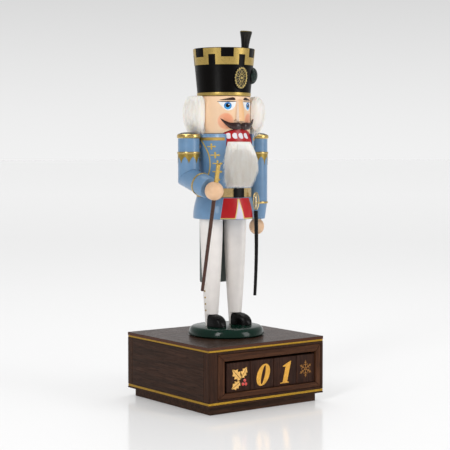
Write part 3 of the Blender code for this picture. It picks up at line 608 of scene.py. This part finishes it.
# ---- legs, shoes, base ----
def finish_legs():
    disc = lacquer("disc_green", GREEN, 0.15, 0.0, 0.1, specular=0.28)
    disc.bump(disc.noise(0.007, 1.0), 0.00008, 0.25)
    finish(disc, "base_disc")
    shoes = lacquer("shoe_black", "#080707", 0.28, 0.0, turned=False, specular=0.17)
    finish(shoes, "right_shoe", "left_shoe")
    legs = lacquer("leg_white", "#F1EBE6", 0.45, 0.08, 0.025, specular=0.35)
    finish(legs, "right_leg", "left_leg")
    gold = gilt("stud_gold", "#A88A44", 0.28)
    lowest = extent("right_leg")[0].z + 27.2 * MM
    for side, angle in (("right", -88.0), ("left", 88.0)):
        skin = Turned(side + "_leg", keep=0.3)
        skin.x, skin.y = leg_axis(side)
        studs = [stud(skin, angle, lowest + index * 8.3 * MM, 1.25, 0.9) for index in range(7)]
        piece(side + "_leg_studs", gold, studs)


def leg_axis(side):
    """Middle of a leg's top, which the shoe's notch doesn't cut."""
    level = extent("coat_skirt")[0].z
    top = [v.co for v in NODES[side + "_leg"].data.vertices if abs(v.co.z - level) < 0.5 * MM]
    return [(min(spots) + max(spots)) / 2 for spots in ([p.x for p in top], [p.y for p in top])]


# ---- coat ----
def finish_coat():
    coat = lacquer("coat_paint", BLUE, 0.36, 0.25, 0.05)
    finish(coat, "torso", "coat_skirt", "left_arm", "right_upper_arm", "right_forearm")
    finish(gilt("belt_paint", "#CDB07A", 0.26, metal=0.85), "belt")
    finish(lacquer("buckle_paint", "#070606", 0.22, 0.0, turned=False, specular=0.14), "belt_buckle")
    finish(lacquer("dowel_wood", "#C2A17A", 0.6, 0.0), "right_arm_dowel", "left_arm_dowel")
    steel = Look("steel", "#A0A0A2", 0.35, metal=1.0)
    steel.bump(steel.noise(0.0006), 0.00003, 0.3)
    finish(steel, "right_screw", "left_screw", "pivot_pin")


def arc_line(start, end, z, step=4.0):
    """Points round a turned skin at one height, about a step of degrees apart."""
    return line((start, z), (end, z), max(2, int(abs(end - start) / step) + 1))


def trim_collar(skin, top):
    """Pale edge and gold band round the neck, open at the jaw."""
    gap = 35.0
    gold = gilt("collar_paint", "#C6A458", 0.38, metal=0.6)
    pale = lacquer("collar_edge_paint", PALE_BLUE, 0.35, 0.3)
    for name, look, low, high, proud in (("collar_gold", gold, 8.4, 4.6, 0.28),
                                         ("collar_edge", pale, 4.3, 0.9, 0.2)):
        rims = [arc_line(gap, 360 - gap, top - drop * MM) for drop in (low, high)]
        piece(name, look, [strip(*rims, skin, 0.02, proud)])


def flower(skin, u, v, length, cross, height):
    """Braid ornament: a stem that ends in a point, crossed by a tall bar with leaf ends."""
    per_mm = math.degrees(MM / skin.radius(v))
    start = u - length * 0.45 * per_mm
    end = u + length * 0.55 * per_mm

    def swell(t):
        return 0.8 + 0.8 * max(0.0, 1 - abs(t - 0.84) / 0.16) ** 0.7 - 0.75 * max(0.0, t - 0.9) / 0.1

    def leaf(t):
        return 0.45 + 0.75 * math.exp(-((abs(t - 0.5) - 0.3) / 0.14) ** 2)

    stem = line((start, v), (end, v), 19)
    u += cross * per_mm
    bar = line((u, v - height * MM / 2), (u, v + height * MM / 2), 19)
    return [cord(stem, skin, 1.8, 0.4, taper=swell),
            cord(bar, skin, 2.5, 0.4, taper=leaf)]


def trim_front(skin, top):
    """Curved piping down each side of the chest, with ornaments inside it.

    A turn comes in degrees, and a drop from the neck in millimetres. An ornament's row is its
    turn, drop, length, crossing and height.
    """
    gold = gilt("braid_gold", "#E2BE55", 0.42, metal=0.3)
    turns = (-84.5, -76.0, -68.0, -65.0, -65.5, -70.5, -78.0)
    drops = (8.0, 15.0, 24.5, 34.0, 43.0, 53.0, 67.0)
    route = smooth_path([(turn, top - drop * MM) for turn, drop in zip(turns, drops)])
    rows = ((-61.5, 16.0, 12.0, 0.4, 7.8), (-54.5, 26.7, 13.0, 0.6, 8.2), (-50.0, 37.2, 13.0, 0.6, 8.2),
            (-50.5, 47.5, 13.0, 0.6, 8.2), (-54.0, 57.5, 12.0, 0.4, 7.8))
    for side, sign in SIDES:
        piping = cord(sided(route, sign), skin, 1.8, 0.42)
        piece(side + "_chest_piping", gold, [piping])
        parts = []
        for u, drop, length, cross, height in rows:
            parts += flower(skin, sign * u, top - drop * MM, sign * length, sign * cross, height)
        piece(side + "_chest_braid", gold, parts)


def fringe(skin, top, depth, teeth, first):
    """A band round an arm whose foot hangs in points."""
    count = 144
    lower = []
    for index in range(count):
        angle = 360.0 * index / count
        share = abs(((angle - first) * teeth / 360.0 + 0.5) % 1.0 - 0.5) * 2
        lower.append((angle, top - 3.6 * MM - depth * (1 - share ** 0.46)))
    lower.append(lower[0])
    return strip(lower, [(angle, top) for angle, _ in lower], skin, *GOLD_PAINT)


def band_profile(radius, half, proud):
    """A rounded band whose inside sits just under a surface of that radius."""
    points = [(radius - 0.6 * MM, half * 0.9), (radius - 0.6 * MM, -half * 0.9)]
    for index in range(7):
        angle = math.radians(-90 + 180 * index / 6)
        points.append((radius - 0.1 * MM + proud * math.cos(angle), half * math.sin(angle)))
    return points


def trim_arms():
    gold = gilt("sleeve_gold", "#C9AD6C", 0.28, metal=0.8)
    dull = gilt("fringe_gold", "#A38A42", 0.34, metal=0.7)
    sleeve = 13.5 * MM
    for node, first in (("left_arm", 7.5), ("right_upper_arm", 11.0)):
        skin = Turned(node)
        skin.levels, skin.reaches = [0.0, 1.0], [sleeve, sleeve]
        top = extent(node)[1].z
        ring = hoop(band_profile(14.15 * MM, 1.5 * MM, 0.55 * MM), (skin.x, skin.y, top - 18.2 * MM))
        piece(node + "_band", gold, [ring])
        points = fringe(skin, top - 19.0 * MM, 11.0 * MM, 8, first)
        piece(node + "_fringe", dull, [points])
    foot = extent("left_arm")[0].z
    skin = Turned("left_arm")
    cuff = hoop(band_profile(13.95 * MM, 1.3 * MM, 0.45 * MM), (skin.x, skin.y, foot + 21.2 * MM))
    piece("left_cuff_ring", gold, [cuff])
    elbow, along = forearm_line()
    ring = hoop(band_profile(14.5 * MM, 1.3 * MM, 0.45 * MM), elbow + along * 28.5 * MM, along)
    piece("right_cuff_ring", gold, [ring])
    finish_epaulettes()


def forearm_line():
    """The right elbow and the forearm's direction, from its slope, the hand and the upper arm."""
    upper = Turned("right_upper_arm")
    drop = math.radians(16.5)
    along = Vector((0.0, -math.cos(drop), -math.sin(drop)))
    hand = sum((Vector(c) for c in extent("right_hand")), Vector()) / 2
    elbow = Vector((upper.x, upper.y, hand.z + (hand.y - upper.y) * -math.tan(drop)))
    return elbow, along


def finish_epaulettes():
    """A gold rim with a dark domed top."""
    foot = extent("left_epaulette")[0].z
    look = Look("epaulette_paint", GOLD, 0.26)
    rim = look.spread(look.height(), foot + 5.0 * MM, foot + 5.4 * MM)
    wear = look.patches(0.004)
    pale = "#CDB06C"
    gold = look.mix(wear, shade(pale, 0.88), shade(pale, 1.12))
    look.paint(look.mix(rim, gold, WARM_BLACK))
    look.set("Metallic", look.spread(rim, 0.0, 1.0, 0.9, 0.0))
    look.bump(look.noise(0.0012), 0.00006, 0.3)
    finish(look, "left_epaulette", "right_epaulette")


def trim_skirt():
    """Two red front panels with gold hems, parted by a pale wedge."""
    skin = Turned("coat_skirt", axis="hat")
    foot, top = (corner.z for corner in extent("coat_skirt"))
    low = foot + 0.9 * MM
    high = top - 0.4 * MM
    tip = high - 1.5 * MM
    turn = -6.0
    red = lacquer("panel_red", RED, 0.34, 0.15, 0.08, specular=0.3)
    panel = [(-36.6, low), (-9.6, low), (-0.6, tip), (-0.2, high), (-31.2, high)]
    shapes = [[(sign * u + turn, v) for u, v in panel[::sign]] for sign in (1, -1)]
    piece("skirt_panels", red, [plate(s, skin, 0.03, 0.26) for s in shapes])
    wedge = [(-9.4 + turn, low), (9.4 + turn, low), (turn + 0.3, tip), (turn - 0.3, tip)]
    lining = lacquer("wedge_paint", "#D5CBDD", 0.4, 0.2)
    piece("skirt_wedge", lining, [plate(wedge, skin, 0.02, 0.2)])
    hems = []
    edges = []
    foot = low + 0.5 * MM
    for sign in (-1, 1):
        hems.append(line((turn + sign * 37.0, foot), (turn + sign * 9.6, foot), 12))
        hems.append(line((turn + sign * 9.6, low), (turn + sign * 0.6, high - 1.2 * MM), 12))
        edges.append(line((turn + sign * 37.6, low), (turn + sign * 32.0, high), 10))
    brink = high - 0.1 * MM
    edges.append(line((turn - 31.8, brink), (turn + 31.8, brink), 20))
    gold = gilt("hem_gold", "#DCC676", 0.4, metal=0.35)
    piece("skirt_hem", gold, [cord(path, skin, 1.7, 0.42) for path in hems])
    pale = lacquer("panel_edge", PALE_BLUE, 0.35, 0.2)
    piece("skirt_edges", pale, [cord(path, skin, 0.9, 0.28) for path in edges])


# ---- jaw ----
def finish_lever():
    """Red mouth in front, grey-green tail behind."""
    look = Look("lever_paint", RED, 0.3, coat=0.15, specular=0.3)
    back = look.node("SeparateXYZ", {0: look.here}).outputs["Y"]
    tail = look.spread(back, -6 * MM, -5 * MM)
    grey = mottled(look, "#5B6461", 0.08)
    look.paint(look.mix(tail, mottled(look, RED, 0.08), grey))
    look.bump(look.noise(0.001), 0.00005, 0.3)
    finish(look, "jaw_lever")


def tooth(u, v, half_u, half_v):
    """A rounded tooth with a notch in its right side."""
    outline = ellipse(u, v, half_u, half_v, 22, 48.0, 312.0)
    return outline + [(u - half_u * 0.1, v)]


def trim_mouth():
    skin = Turned("jaw_lever", axis="hat")
    middle = extent("jaw_lever")[1].z - 8.2 * MM
    shapes = [tooth(-27.2 + 14.0 * index, middle, 6.3, 3.7 * MM) for index in range(4)]
    parts = [plate(shape, skin, 0.03, 0.32) for shape in shapes]
    look = lacquer("tooth_white", "#F4F0F5", 0.22, 0.3)
    piece("teeth", look, parts, JAW)


# ---- face ----
def finish_head():
    """Flesh paint with soft round cheeks, each a disc with a warmer core."""
    skin = Turned("head")
    foot = extent("head")[0].z
    look = Look("head_paint", SKIN, 0.4, coat=0.15)
    colour = mottled(look, SKIN, 0.035, 0.02)
    # Turn in degrees; rise, rim and full colour in millimetres; share; blush.
    disc = (32.5, 15.6, 11.4, 8.8, 0.55, "#F58E62")
    core = (29.0, 19.2, 8.0, 3.0, 0.35, "#F0885F")
    for sign in (-1, 1):
        for turn, rise, rim, full, share, blush in (disc, core):
            near = look.from_point(skin.spot(sign * turn, foot + rise * MM))
            inside = look.spread(near, rim * MM, full * MM, smooth=True)
            colour = look.mix(look.math("MULTIPLY", inside, share), colour, blush)
    look.paint(colour)
    look.bump(look.noise(0.0009, 3.0, (0.08, 0.08, 1.0)), 0.00004, 0.3)
    finish(look, "head")
    hands = lacquer("hand_paint", "#E8BE97", 0.4, 0.1, 0.08, turned=False)
    finish(hands, "right_hand", "left_hand")
    nose = Look("nose_painted_light_and_shade", SKIN, 0.38, coat=0.15)
    # The nose's faces that point to the front are painted tan as painted shade, and its other faces a pale
    # pink as painted light.
    facing = nose.node("SeparateXYZ", {0: nose.node("TexCoord").outputs["Normal"]}).outputs["Y"]
    front = nose.spread(facing, -0.75, -0.9, smooth=True)
    pale = mottled(nose, "#F6DFCB", 0.03, 0.02)
    nose.set("Base Color", nose.mix(front, pale, "#EDBB85"))
    nose.bump(nose.noise(0.0009), 0.00004, 0.3)
    finish(nose, "nose")
    moustache = lacquer("moustache_paint", BROWN, 0.25, 0.25, 0.15, turned=False, specular=0.35)
    finish(moustache, "moustache")


def eye_white(top):
    """A lid line on top and a bowl below, drawn out to the outer corner."""
    points = []
    for index in range(25):
        t = -1 + 2 * index / 24
        power = 1.45 if t < 0 else 2.3
        drop = 11.0 * MM * max(0.0, 1 - abs(t) ** power) ** (0.95 if t < 0 else 0.6)
        points.append((-29.0 + 20.0 * t, top - drop))
    return points


def iris_look(centre, name):
    """Blue rings round the pupil, lighter towards the foot."""
    look = Look(name, "#1C8BD8", 0.25, coat=0.2, specular=0.3)
    reach = look.from_point(centre)
    rise = look.spread(look.height(), centre.z - 4.0 * MM, centre.z + 4.0 * MM)
    body = look.mix(rise, "#35A8EA", "#0B6FC2")
    rim = look.spread(reach, 3.7 * MM, 4.7 * MM, smooth=True)
    rays = look.patches(0.0012, 0.35, 2.0)
    body = look.mix(look.math("MULTIPLY", rays, 0.12), body, "#BFE6FC")
    look.paint(look.mix(rim, body, "#0B5FA8"))
    return look


def trim_face():
    skin = Turned("head")
    foot = extent("head")[0].z
    lid = foot + 39.9 * MM
    eye = foot + 34.9 * MM
    white = lacquer("eye_white", "#F2F4F6", 0.22, 0.6)
    dark = lacquer("face_line", "#33201D", 0.3, 0.1, specular=0.3)
    black = lacquer("pupil_black", "#080607", 0.2, 0.2, specular=0.3)
    glint = lacquer("eye_glint", "#FFFFFF", 0.2, 0.5)
    for side, sign in SIDES:
        blue = iris_look(skin.spot(-28.0 * sign, eye), side + "_iris_paint")
        bowl = eye_white(lid)
        iris = ellipse(-28.0, eye, 8.3, 4.55 * MM, 36)
        pupil = ellipse(-28.2, eye + 0.4 * MM, 4.6, 2.55 * MM, 28)
        spark = ellipse(-25.8, eye + 1.5 * MM, 1.1, 0.6 * MM, 14)
        for name, look, shape, low, high in (("_eye_white", white, bowl, 0.02, 0.12),
                                             ("_iris", blue, iris, 0.08, 0.2),
                                             ("_pupil", black, pupil, 0.15, 0.27),
                                             ("_eye_glint", glint, spark, 0.2, 0.33)):
            part = plate(sided(shape, sign), skin, low, high)
            piece(side + name, look, [part])
        crease = sided(line((-51.0, lid + 0.2 * MM), (-9.2, lid + 0.2 * MM), 18), sign)
        parts = [cord(crease, skin, 1.25, 0.34, taper=lid_taper),
                 plate(sided(brow_outline(foot), sign), skin, 0.02, 0.16)]
        piece(side + "_brow_and_lid", dark, parts)
    nostril = lacquer("nostril_line", "#A86A50", 0.4, 0.2)
    lines = []
    for sign in (-1, 1):
        arc = [(sign * (9.0 + 4.4 * math.cos(a)), foot + 15.9 * MM + 1.5 * MM * math.sin(a))
               for a in np.linspace(-0.3, math.pi * 0.8, 10)]
        lines.append(cord(arc, skin, 0.8, 0.25, taper=lambda t: 1 - 0.5 * t, sides=6))
    piece("nostril_lines", nostril, lines)


def lid_taper(t):
    return 0.4 + 0.6 * math.sin(math.pi * t) ** 0.6


def brow_outline(foot):
    """A leaf-shaped brow, thickest near the nose: its upper edge, then its lower edge."""
    top = [(-10.4, 0.8), (-13.0, 2.6), (-17.5, 3.4), (-24.0, 2.7), (-34.0, 1.4), (-46.5, 0.2)]
    bottom = [(-45.5, -0.1), (-33.0, -0.2), (-20.0, -0.3), (-12.0, -0.2)]
    rim = smooth_path(top, 4) + smooth_path(bottom, 4)
    return [(u, foot + (42.1 + v) * MM) for u, v in rim]


# ---- hat ----
def finish_hat():
    """Black paint, a streaked plume, a folded ribbon and the emblem's dark ground."""
    finish(lacquer("hat_black", "#070504", 0.34, 0.0, 0.1, specular=0.09), "hat")
    top = extent("plume")[1].z
    look = Look("plume_paint", WARM_BLACK, 0.3, specular=0.18)
    rim = look.spread(look.height(), top - 1.7 * MM, top - 1.2 * MM)
    streak = look.patches(0.0016, 0.35, 2.0, (1.0, 1.0, 0.05))
    dark = look.mix(streak, "#080706", "#24211B")
    look.paint(look.mix(rim, dark, "#7A6A3A"))
    look.bump(streak, 0.0001, 0.5)
    finish(look, "plume")
    look = Look("cockade_ribbon", "#0D1512", 0.28, specular=0.25)
    folds = look.patches(0.0014, 0.4, 2.0)
    look.paint(look.mix(folds, "#070A08", "#16322A"))
    look.bump(folds, 0.0002, 0.8)
    finish(look, "cockade")
    finish(lacquer("emblem_ground", "#15120F", 0.35, 0.0, turned=False, specular=0.3), "hat_emblem")


def key_band(skin, foot, top):
    """Gold battlement line round the hat: six periods, open below and above in turn."""
    low = foot + 39.0 * MM
    high = top - 0.7 * MM
    notch_top = foot + 51.8 * MM
    notch_foot = foot + 48.5 * MM

    def block(start, end, lower, upper):
        lines = [arc_line(start, end, z, 2.0) for z in (lower, upper)]
        return strip(*lines, skin, *GOLD_PAINT)

    parts = []
    for middle in range(0, 360, 60):
        parts += [block(middle - 7, middle + 7, notch_top, high), block(middle - 18, middle - 7, low, high),
                  block(middle + 7, middle + 18, low, high), block(middle + 18, middle + 42, low, notch_foot)]
    return parts


def rosette(skin, v):
    """Oval openwork: a beaded rim, an inner ring and eight petals round a boss."""
    per_mm = math.degrees(MM / skin.radius(v))

    def oval(half_u, half_v, count=48):
        return [(u, v + w * MM) for u, w in ellipse(0, 0, half_u * per_mm, half_v, count)]

    parts = [cord(oval(8.5, 11.9), skin, 1.15, 0.6, closed=True),
             cord(oval(3.0, 4.1, 28), skin, 0.7, 0.6, closed=True)]
    for u, w in oval(9.2, 12.8, 22):
        parts.append(stud(skin, u, w, 0.9, 0.9, 8))
    for index in range(8):
        turn = 2 * math.pi * (index + 0.5) / 8
        petal = []
        for step in range(18):
            phase = 2 * math.pi * step / 18
            along = 0.62 + 0.3 * math.cos(phase)
            aside = 0.16 * math.sin(phase) * (1.2 + math.cos(phase)) / 1.5
            x = 8.2 * (along * math.cos(turn) - aside * math.sin(turn))
            y = 11.5 * (along * math.sin(turn) + aside * math.cos(turn))
            petal.append((x * per_mm, v + y * MM))
        parts.append(cord(petal, skin, 0.55, 0.5, closed=True, sides=6))
    parts.append(stud(skin, 0, v, 1.9, 1.3, 14))
    return parts


def trim_hat():
    skin = Turned("hat")
    foot, top = (corner.z for corner in extent("hat"))
    gold = gilt("hat_gold", "#BCA059", 0.33, metal=0.75)
    piece("hat_key_band", gold, key_band(skin, foot, top))
    ring = [(33.2, 0.2), (33.8, 0.2), (34.35, 0.7), (34.45, 2.2), (34.5, 3.8), (34.4, 4.3), (33.2, 4.3)]
    base = hoop([(r * MM, h * MM) for r, h in ring], (skin.x, skin.y, foot), segments=64)
    piece("hat_foot_band", gold, [base])
    low, high = extent("hat_emblem")
    skin.reaches = [reach + 1.4 * MM for reach in skin.reaches]
    brass = gilt("emblem_brass", "#CDB672", 0.28, metal=0.7)
    piece("hat_rosette", brass, rosette(skin, (low.z + high.z) / 2))


# ---- fur ----
HAIR_STRANDS = 3600
BEARD_STRANDS = 4200
LOCKS = 26
LOCK_STRANDS = 14
TRIANGLE = circle(3)


def tuft(root, way, length, width, droop, sway, side, steps=3):
    """A tapered three-sided strand that bends over as it goes."""
    points = []
    spot = Vector(root)
    heading = Vector(way).normalized()
    for index in range(steps + 1):
        share = index / steps
        across = heading.cross(side).normalized()
        up = heading.cross(across)
        reach = width * (1 - share) ** 0.8 + 0.00002
        points += [spot + (across * x + up * y) * reach for x, y in TRIANGLE]
        heading = (heading + droop / steps + sway / steps).normalized()
        spot = spot + heading * length / steps
    return points, tube_faces(steps + 1, 3)


def fur_look():
    look = Look("white_fur", CREAM, 0.8, specular=0.2)
    locks = look.patches(0.0035, 0.3, 3.0, (1.0, 1.0, 0.18))
    hairs = look.patches(0.0006, 0.35, 1.0, (1.0, 1.0, 0.1))
    base = look.mix(locks, "#F3EDE5", "#FFFDF9")
    look.paint(look.mix(look.math("MULTIPLY", hairs, 0.2), base, "#E6DDD0"))
    look.set("Sheen Weight", 0.25)
    look.set("Subsurface Weight", 0.35)
    look.set("Subsurface Radius", (0.004, 0.003, 0.002))
    look.bump(hairs, 0.0002, 0.5)
    return look


class Collar:
    """The fur hair's section, swept from one temple round the back to the other."""

    START = 60.0
    END = 280.0
    DEPTH = 9.3 * MM

    def __init__(self):
        head = Turned("head")
        low, high = extent("hair")
        self.x = head.x
        self.y = head.y
        self.inner = max(head.reaches) + 0.9 * MM
        self.middle = (low.z + high.z) / 2
        self.half = (high.z - low.z) / 2

    def turn(self, share):
        return math.radians(self.START + (self.END - self.START) * share)

    def spot(self, share, phase, grow=1.0):
        """A point round the section, which is slimmest at the right temple and pinched at its foot."""
        turn = self.turn(share)
        swell = min(1.0, 0.72 + 3.0 * (1.0 - share), 0.8 + 6.0 * share) + 0.2 * math.exp(-8.0 * share)
        across, along = (math.copysign(abs(part) ** 0.85, part)
                         for part in (math.cos(phase), math.sin(phase)))
        pinch = 1.0 - 0.2 * max(0.0, -along) ** 2
        reach = self.inner + self.DEPTH * swell * grow * (1.0 + across) * pinch
        z = self.middle + self.half * grow * (0.92 + 0.12 * swell) * along
        return Vector((self.x + reach * math.sin(turn), self.y - reach * math.cos(turn), z))


def make_hair(look):
    """A closed body, with strands that bend down over it."""
    collar = Collar()
    steps, around = 44, 20
    rings = []
    for index in range(steps + 1):
        rings += [collar.spot(index / steps, 2 * math.pi * t / around, 0.92) for t in range(around)]
    parts = [(rings, tube_faces(steps + 1, around))]
    chance = random.Random(7)
    for _ in range(HAIR_STRANDS):
        share = chance.uniform(0.0, 1.0)
        phase = chance.uniform(-math.pi * 0.72, math.pi * 0.62)
        root = collar.spot(share, phase, 0.88)
        out = (collar.spot(share, phase, 1.0) - root).normalized()
        turn = collar.turn(share)
        side = Vector((math.cos(turn), math.sin(turn), 0))
        lean = -1 if share < 0.03 else 1 if share > 0.97 else 0
        way = out * 0.6 + Vector((0, 0, -0.55)) + side * (0.5 * lean + chance.uniform(-0.25, 0.25))
        droop = Vector((0, 0, -1.2)) - out * 0.9
        sway = side * chance.uniform(-0.5, 0.5)
        length = chance.uniform(5.0, 11.0) * MM
        parts.append(tuft(root, way, length, chance.uniform(0.18, 0.34) * MM, droop, sway, side))
    hair = piece("fur_hair", look, parts, sharp=80)
    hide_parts("hair")


class Beard:
    """The beard's outline: a flattened oval at each share of the way up, kept off the coat."""

    SHARES = (0.0, 0.2, 0.5, 0.7, 0.85, 1.0)
    # The ovals in millimetres.
    HALF_WIDTHS = (14.5, 20.5, 26.0, 26.0, 23.0, 18.5)
    HALF_DEPTHS = (8.5, 10.5, 12.5, 12.5, 11.5, 9.5)
    MIDDLES = (-10.0, -7.2, -3.9, -3.6, -4.9, -6.4)
    FORWARD = 39.6 * MM

    def __init__(self):
        self.low, self.high = extent("beard")
        self.coat = Turned("torso", axis="hat")

    def spot(self, share, angle, grow=1.0):
        rows = (self.HALF_WIDTHS, self.HALF_DEPTHS, self.MIDDLES)
        half, depth, middle = (float(np.interp(share, self.SHARES, row)) * MM for row in rows)
        x = middle + half * grow * math.cos(angle)
        y = depth * grow * math.sin(angle) - self.FORWARD
        z = self.low.z + share * (self.high.z - 0.6 * MM - self.low.z)
        clear = self.coat.radius(z) + 0.9 * MM
        front = self.coat.y - math.sqrt(max(0.0, clear ** 2 - x ** 2))
        return Vector((x, min(y, front), z))


def make_beard(look):
    """A closed body, strands that fall over it, and locks that end its lower edge."""
    beard = Beard()
    side = Vector((0, 1, 0.2))
    steps, around = 22, 28
    rings = []
    for index in range(steps + 1):
        share = index / steps
        grow = 0.9 * (1 - 0.35 * max(0.0, 0.12 - share) / 0.12)
        rings += [beard.spot(share, 2 * math.pi * t / around, grow) for t in range(around)]
    parts = [(rings, tube_faces(steps + 1, around))]
    chance = random.Random(11)
    for _ in range(BEARD_STRANDS):
        share = chance.uniform(0.02, 1.0) ** 0.85
        angle = chance.uniform(math.pi * 0.98, math.pi * 2.02)
        root = beard.spot(share, angle, 0.86)
        out = Vector((math.cos(angle), math.sin(angle) * 0.8, 0))
        way = out * 0.48 + Vector((chance.uniform(-0.22, 0.22), 0, -1))
        droop = Vector((-0.25 * math.cos(angle) - 0.12, 0.1, -0.5))
        sway = Vector((chance.uniform(-0.5, 0.5), 0, 0))
        room = root.z - beard.low.z + 2.0 * MM * chance.uniform(0.2, 1.4)
        length = min(chance.uniform(7, 14) * MM, room)
        parts.append(tuft(root, way, length, chance.uniform(0.14, 0.28) * MM, droop, sway, side))
    still = Vector()
    for index in range(LOCKS):
        angle = math.pi * (0.95 + 1.1 * index / (LOCKS - 1))
        root = beard.spot(0.16, angle, 0.9)
        tip = beard.spot(0.0, angle + chance.uniform(-0.1, 0.1), 1.0)
        tip.z = beard.low.z - chance.uniform(-2.0, 2.0) * MM
        for _ in range(LOCK_STRANDS):
            aside = [chance.uniform(*span) for span in ((-2.6, 2.6), (-0.6, 0.6), (-2, 3))]
            start = root + Vector(aside) * MM
            way = tip - start
            parts.append(tuft(start, way, way.length, chance.uniform(0.2, 0.4) * MM, still, still, side))
    fur = piece("fur_beard", look, parts, body=None, sharp=80)
    start = (0.0, -37 * MM, beard.high.z + 2 * MM)
    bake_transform(fur)
    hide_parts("beard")


# ---- cane and sabre ----
def finish_arms_and_sabre():
    finish(gilt("cane_gold", "#CDAB60", 0.22, metal=0.95), "cane_grip")
    finish(lacquer("cane_brown", "#42200F", 0.3, 0.15, 0.2, specular=0.35), "cane_stick")
    scabbard = lacquer("scabbard_black", "#090706", 0.25, 0.0, turned=False, specular=0.18)
    finish(scabbard, "scabbard")
    finish(gilt("hilt_gold", "#E9D9B0", 0.24), "sabre_grip")
    finish(gilt("guard_gold", "#E6CF92", 0.22), "sabre_guard")


# ---- set ----
# From the camera's side towards the back.
VIEW_WAY = (0.6, 0.8, 0.0)


def make_floor():
    """A pale, slightly glossy floor that runs far behind the object."""
    look = Look("studio_floor", "#FAFAFA", 0.14, specular=0.5)
    look.set("Emission Color", (1.0, 1.0, 1.0, 1.0))
    look.set("Emission Strength", 0.19)
    floor = bpy.data.meshes.new("floor")
    size = 40.0
    corners = [(-size, -size, 0), (size, -size, 0), (size, size, 0), (-size, size, 0)]
    floor.from_pydata(corners, [], [(0, 1, 2, 3)])
    floor.materials.append(look.material)
    place("floor", floor)


def surroundings():
    """Soft light all round: bright behind the object, greyer overhead and on the camera's side."""
    world = bpy.data.worlds.new("studio")
    bpy.context.scene.world = world
    world.use_nodes = True
    graph = Graph(world.node_tree)
    way = graph.node("TexCoord").outputs["Generated"]
    rise = graph.node("SeparateXYZ", {0: way}).outputs["Z"]
    facing = graph.node("VectorMath", {0: way, 1: VIEW_WAY}, operation="DOT_PRODUCT").outputs["Value"]
    high = graph.spread(rise, -0.03, 0.26, smooth=True)
    back = graph.spread(facing, -0.15, 0.65, smooth=True)
    wall = graph.mix(high, (0.89,) * 3, (0.5,) * 3)
    room = graph.mix(back, (0.42,) * 3, wall)
    graph.feed(world.node_tree.nodes["Background"].inputs["Color"], room)


def lamp(name, spot, aim, size, power):
    """A soft rectangular lamp, size metres across and watts of power, that points at aim."""
    data = bpy.data.lights.new(name, "AREA")
    data.shape = "RECTANGLE"
    data.size, data.size_y = size
    data.energy = power
    item = place(name, data)
    item.location = spot
    item.rotation_euler = (Vector(aim) - Vector(spot)).to_track_quat("-Z", "Y").to_euler()


def make_set():
    make_floor()
    surroundings()
    bpy.context.scene.view_settings.view_transform = "Standard"
    aim = (0.0, 0.0, 0.25)
    lamp("key", (-2.0, -1.0, 1.3), aim, (0.5, 1.6), 20)
    lamp("fill", (1.2, -2.2, 1.0), aim, (0.9, 1.6), 20)
    lamp("top", (0.4, 0.6, 2.2), aim, (1.4, 1.4), 16)


def make_camera():
    """The photograph's viewpoint: low, from the figure's front right."""
    data = bpy.data.cameras.new("camera")
    data.lens = 106.55
    data.sensor_width = 36.0
    item = place("camera", data)
    item.location = (-1.01524, -1.37274, 0.31879)
    target = Vector((0.00061, -0.00045, 0.22408))
    item.rotation_euler = (target - item.location).to_track_quat("-Z", "Y").to_euler()
    data.clip_start = 0.05
    data.clip_end = 50
    bpy.context.scene.camera = item


finish_box()
trim_blocks()
finish_legs()
finish_coat()
torso = Turned("torso", axis="hat")
torso_top = extent("torso")[1].z
trim_collar(torso, torso_top)
trim_front(torso, torso_top)
trim_arms()
trim_skirt()
finish_lever()
trim_mouth()
finish_head()
trim_face()
finish_hat()
trim_hat()
fur = fur_look()
make_hair(fur)
make_beard(fur)
finish_arms_and_sabre()
make_set()
make_camera()
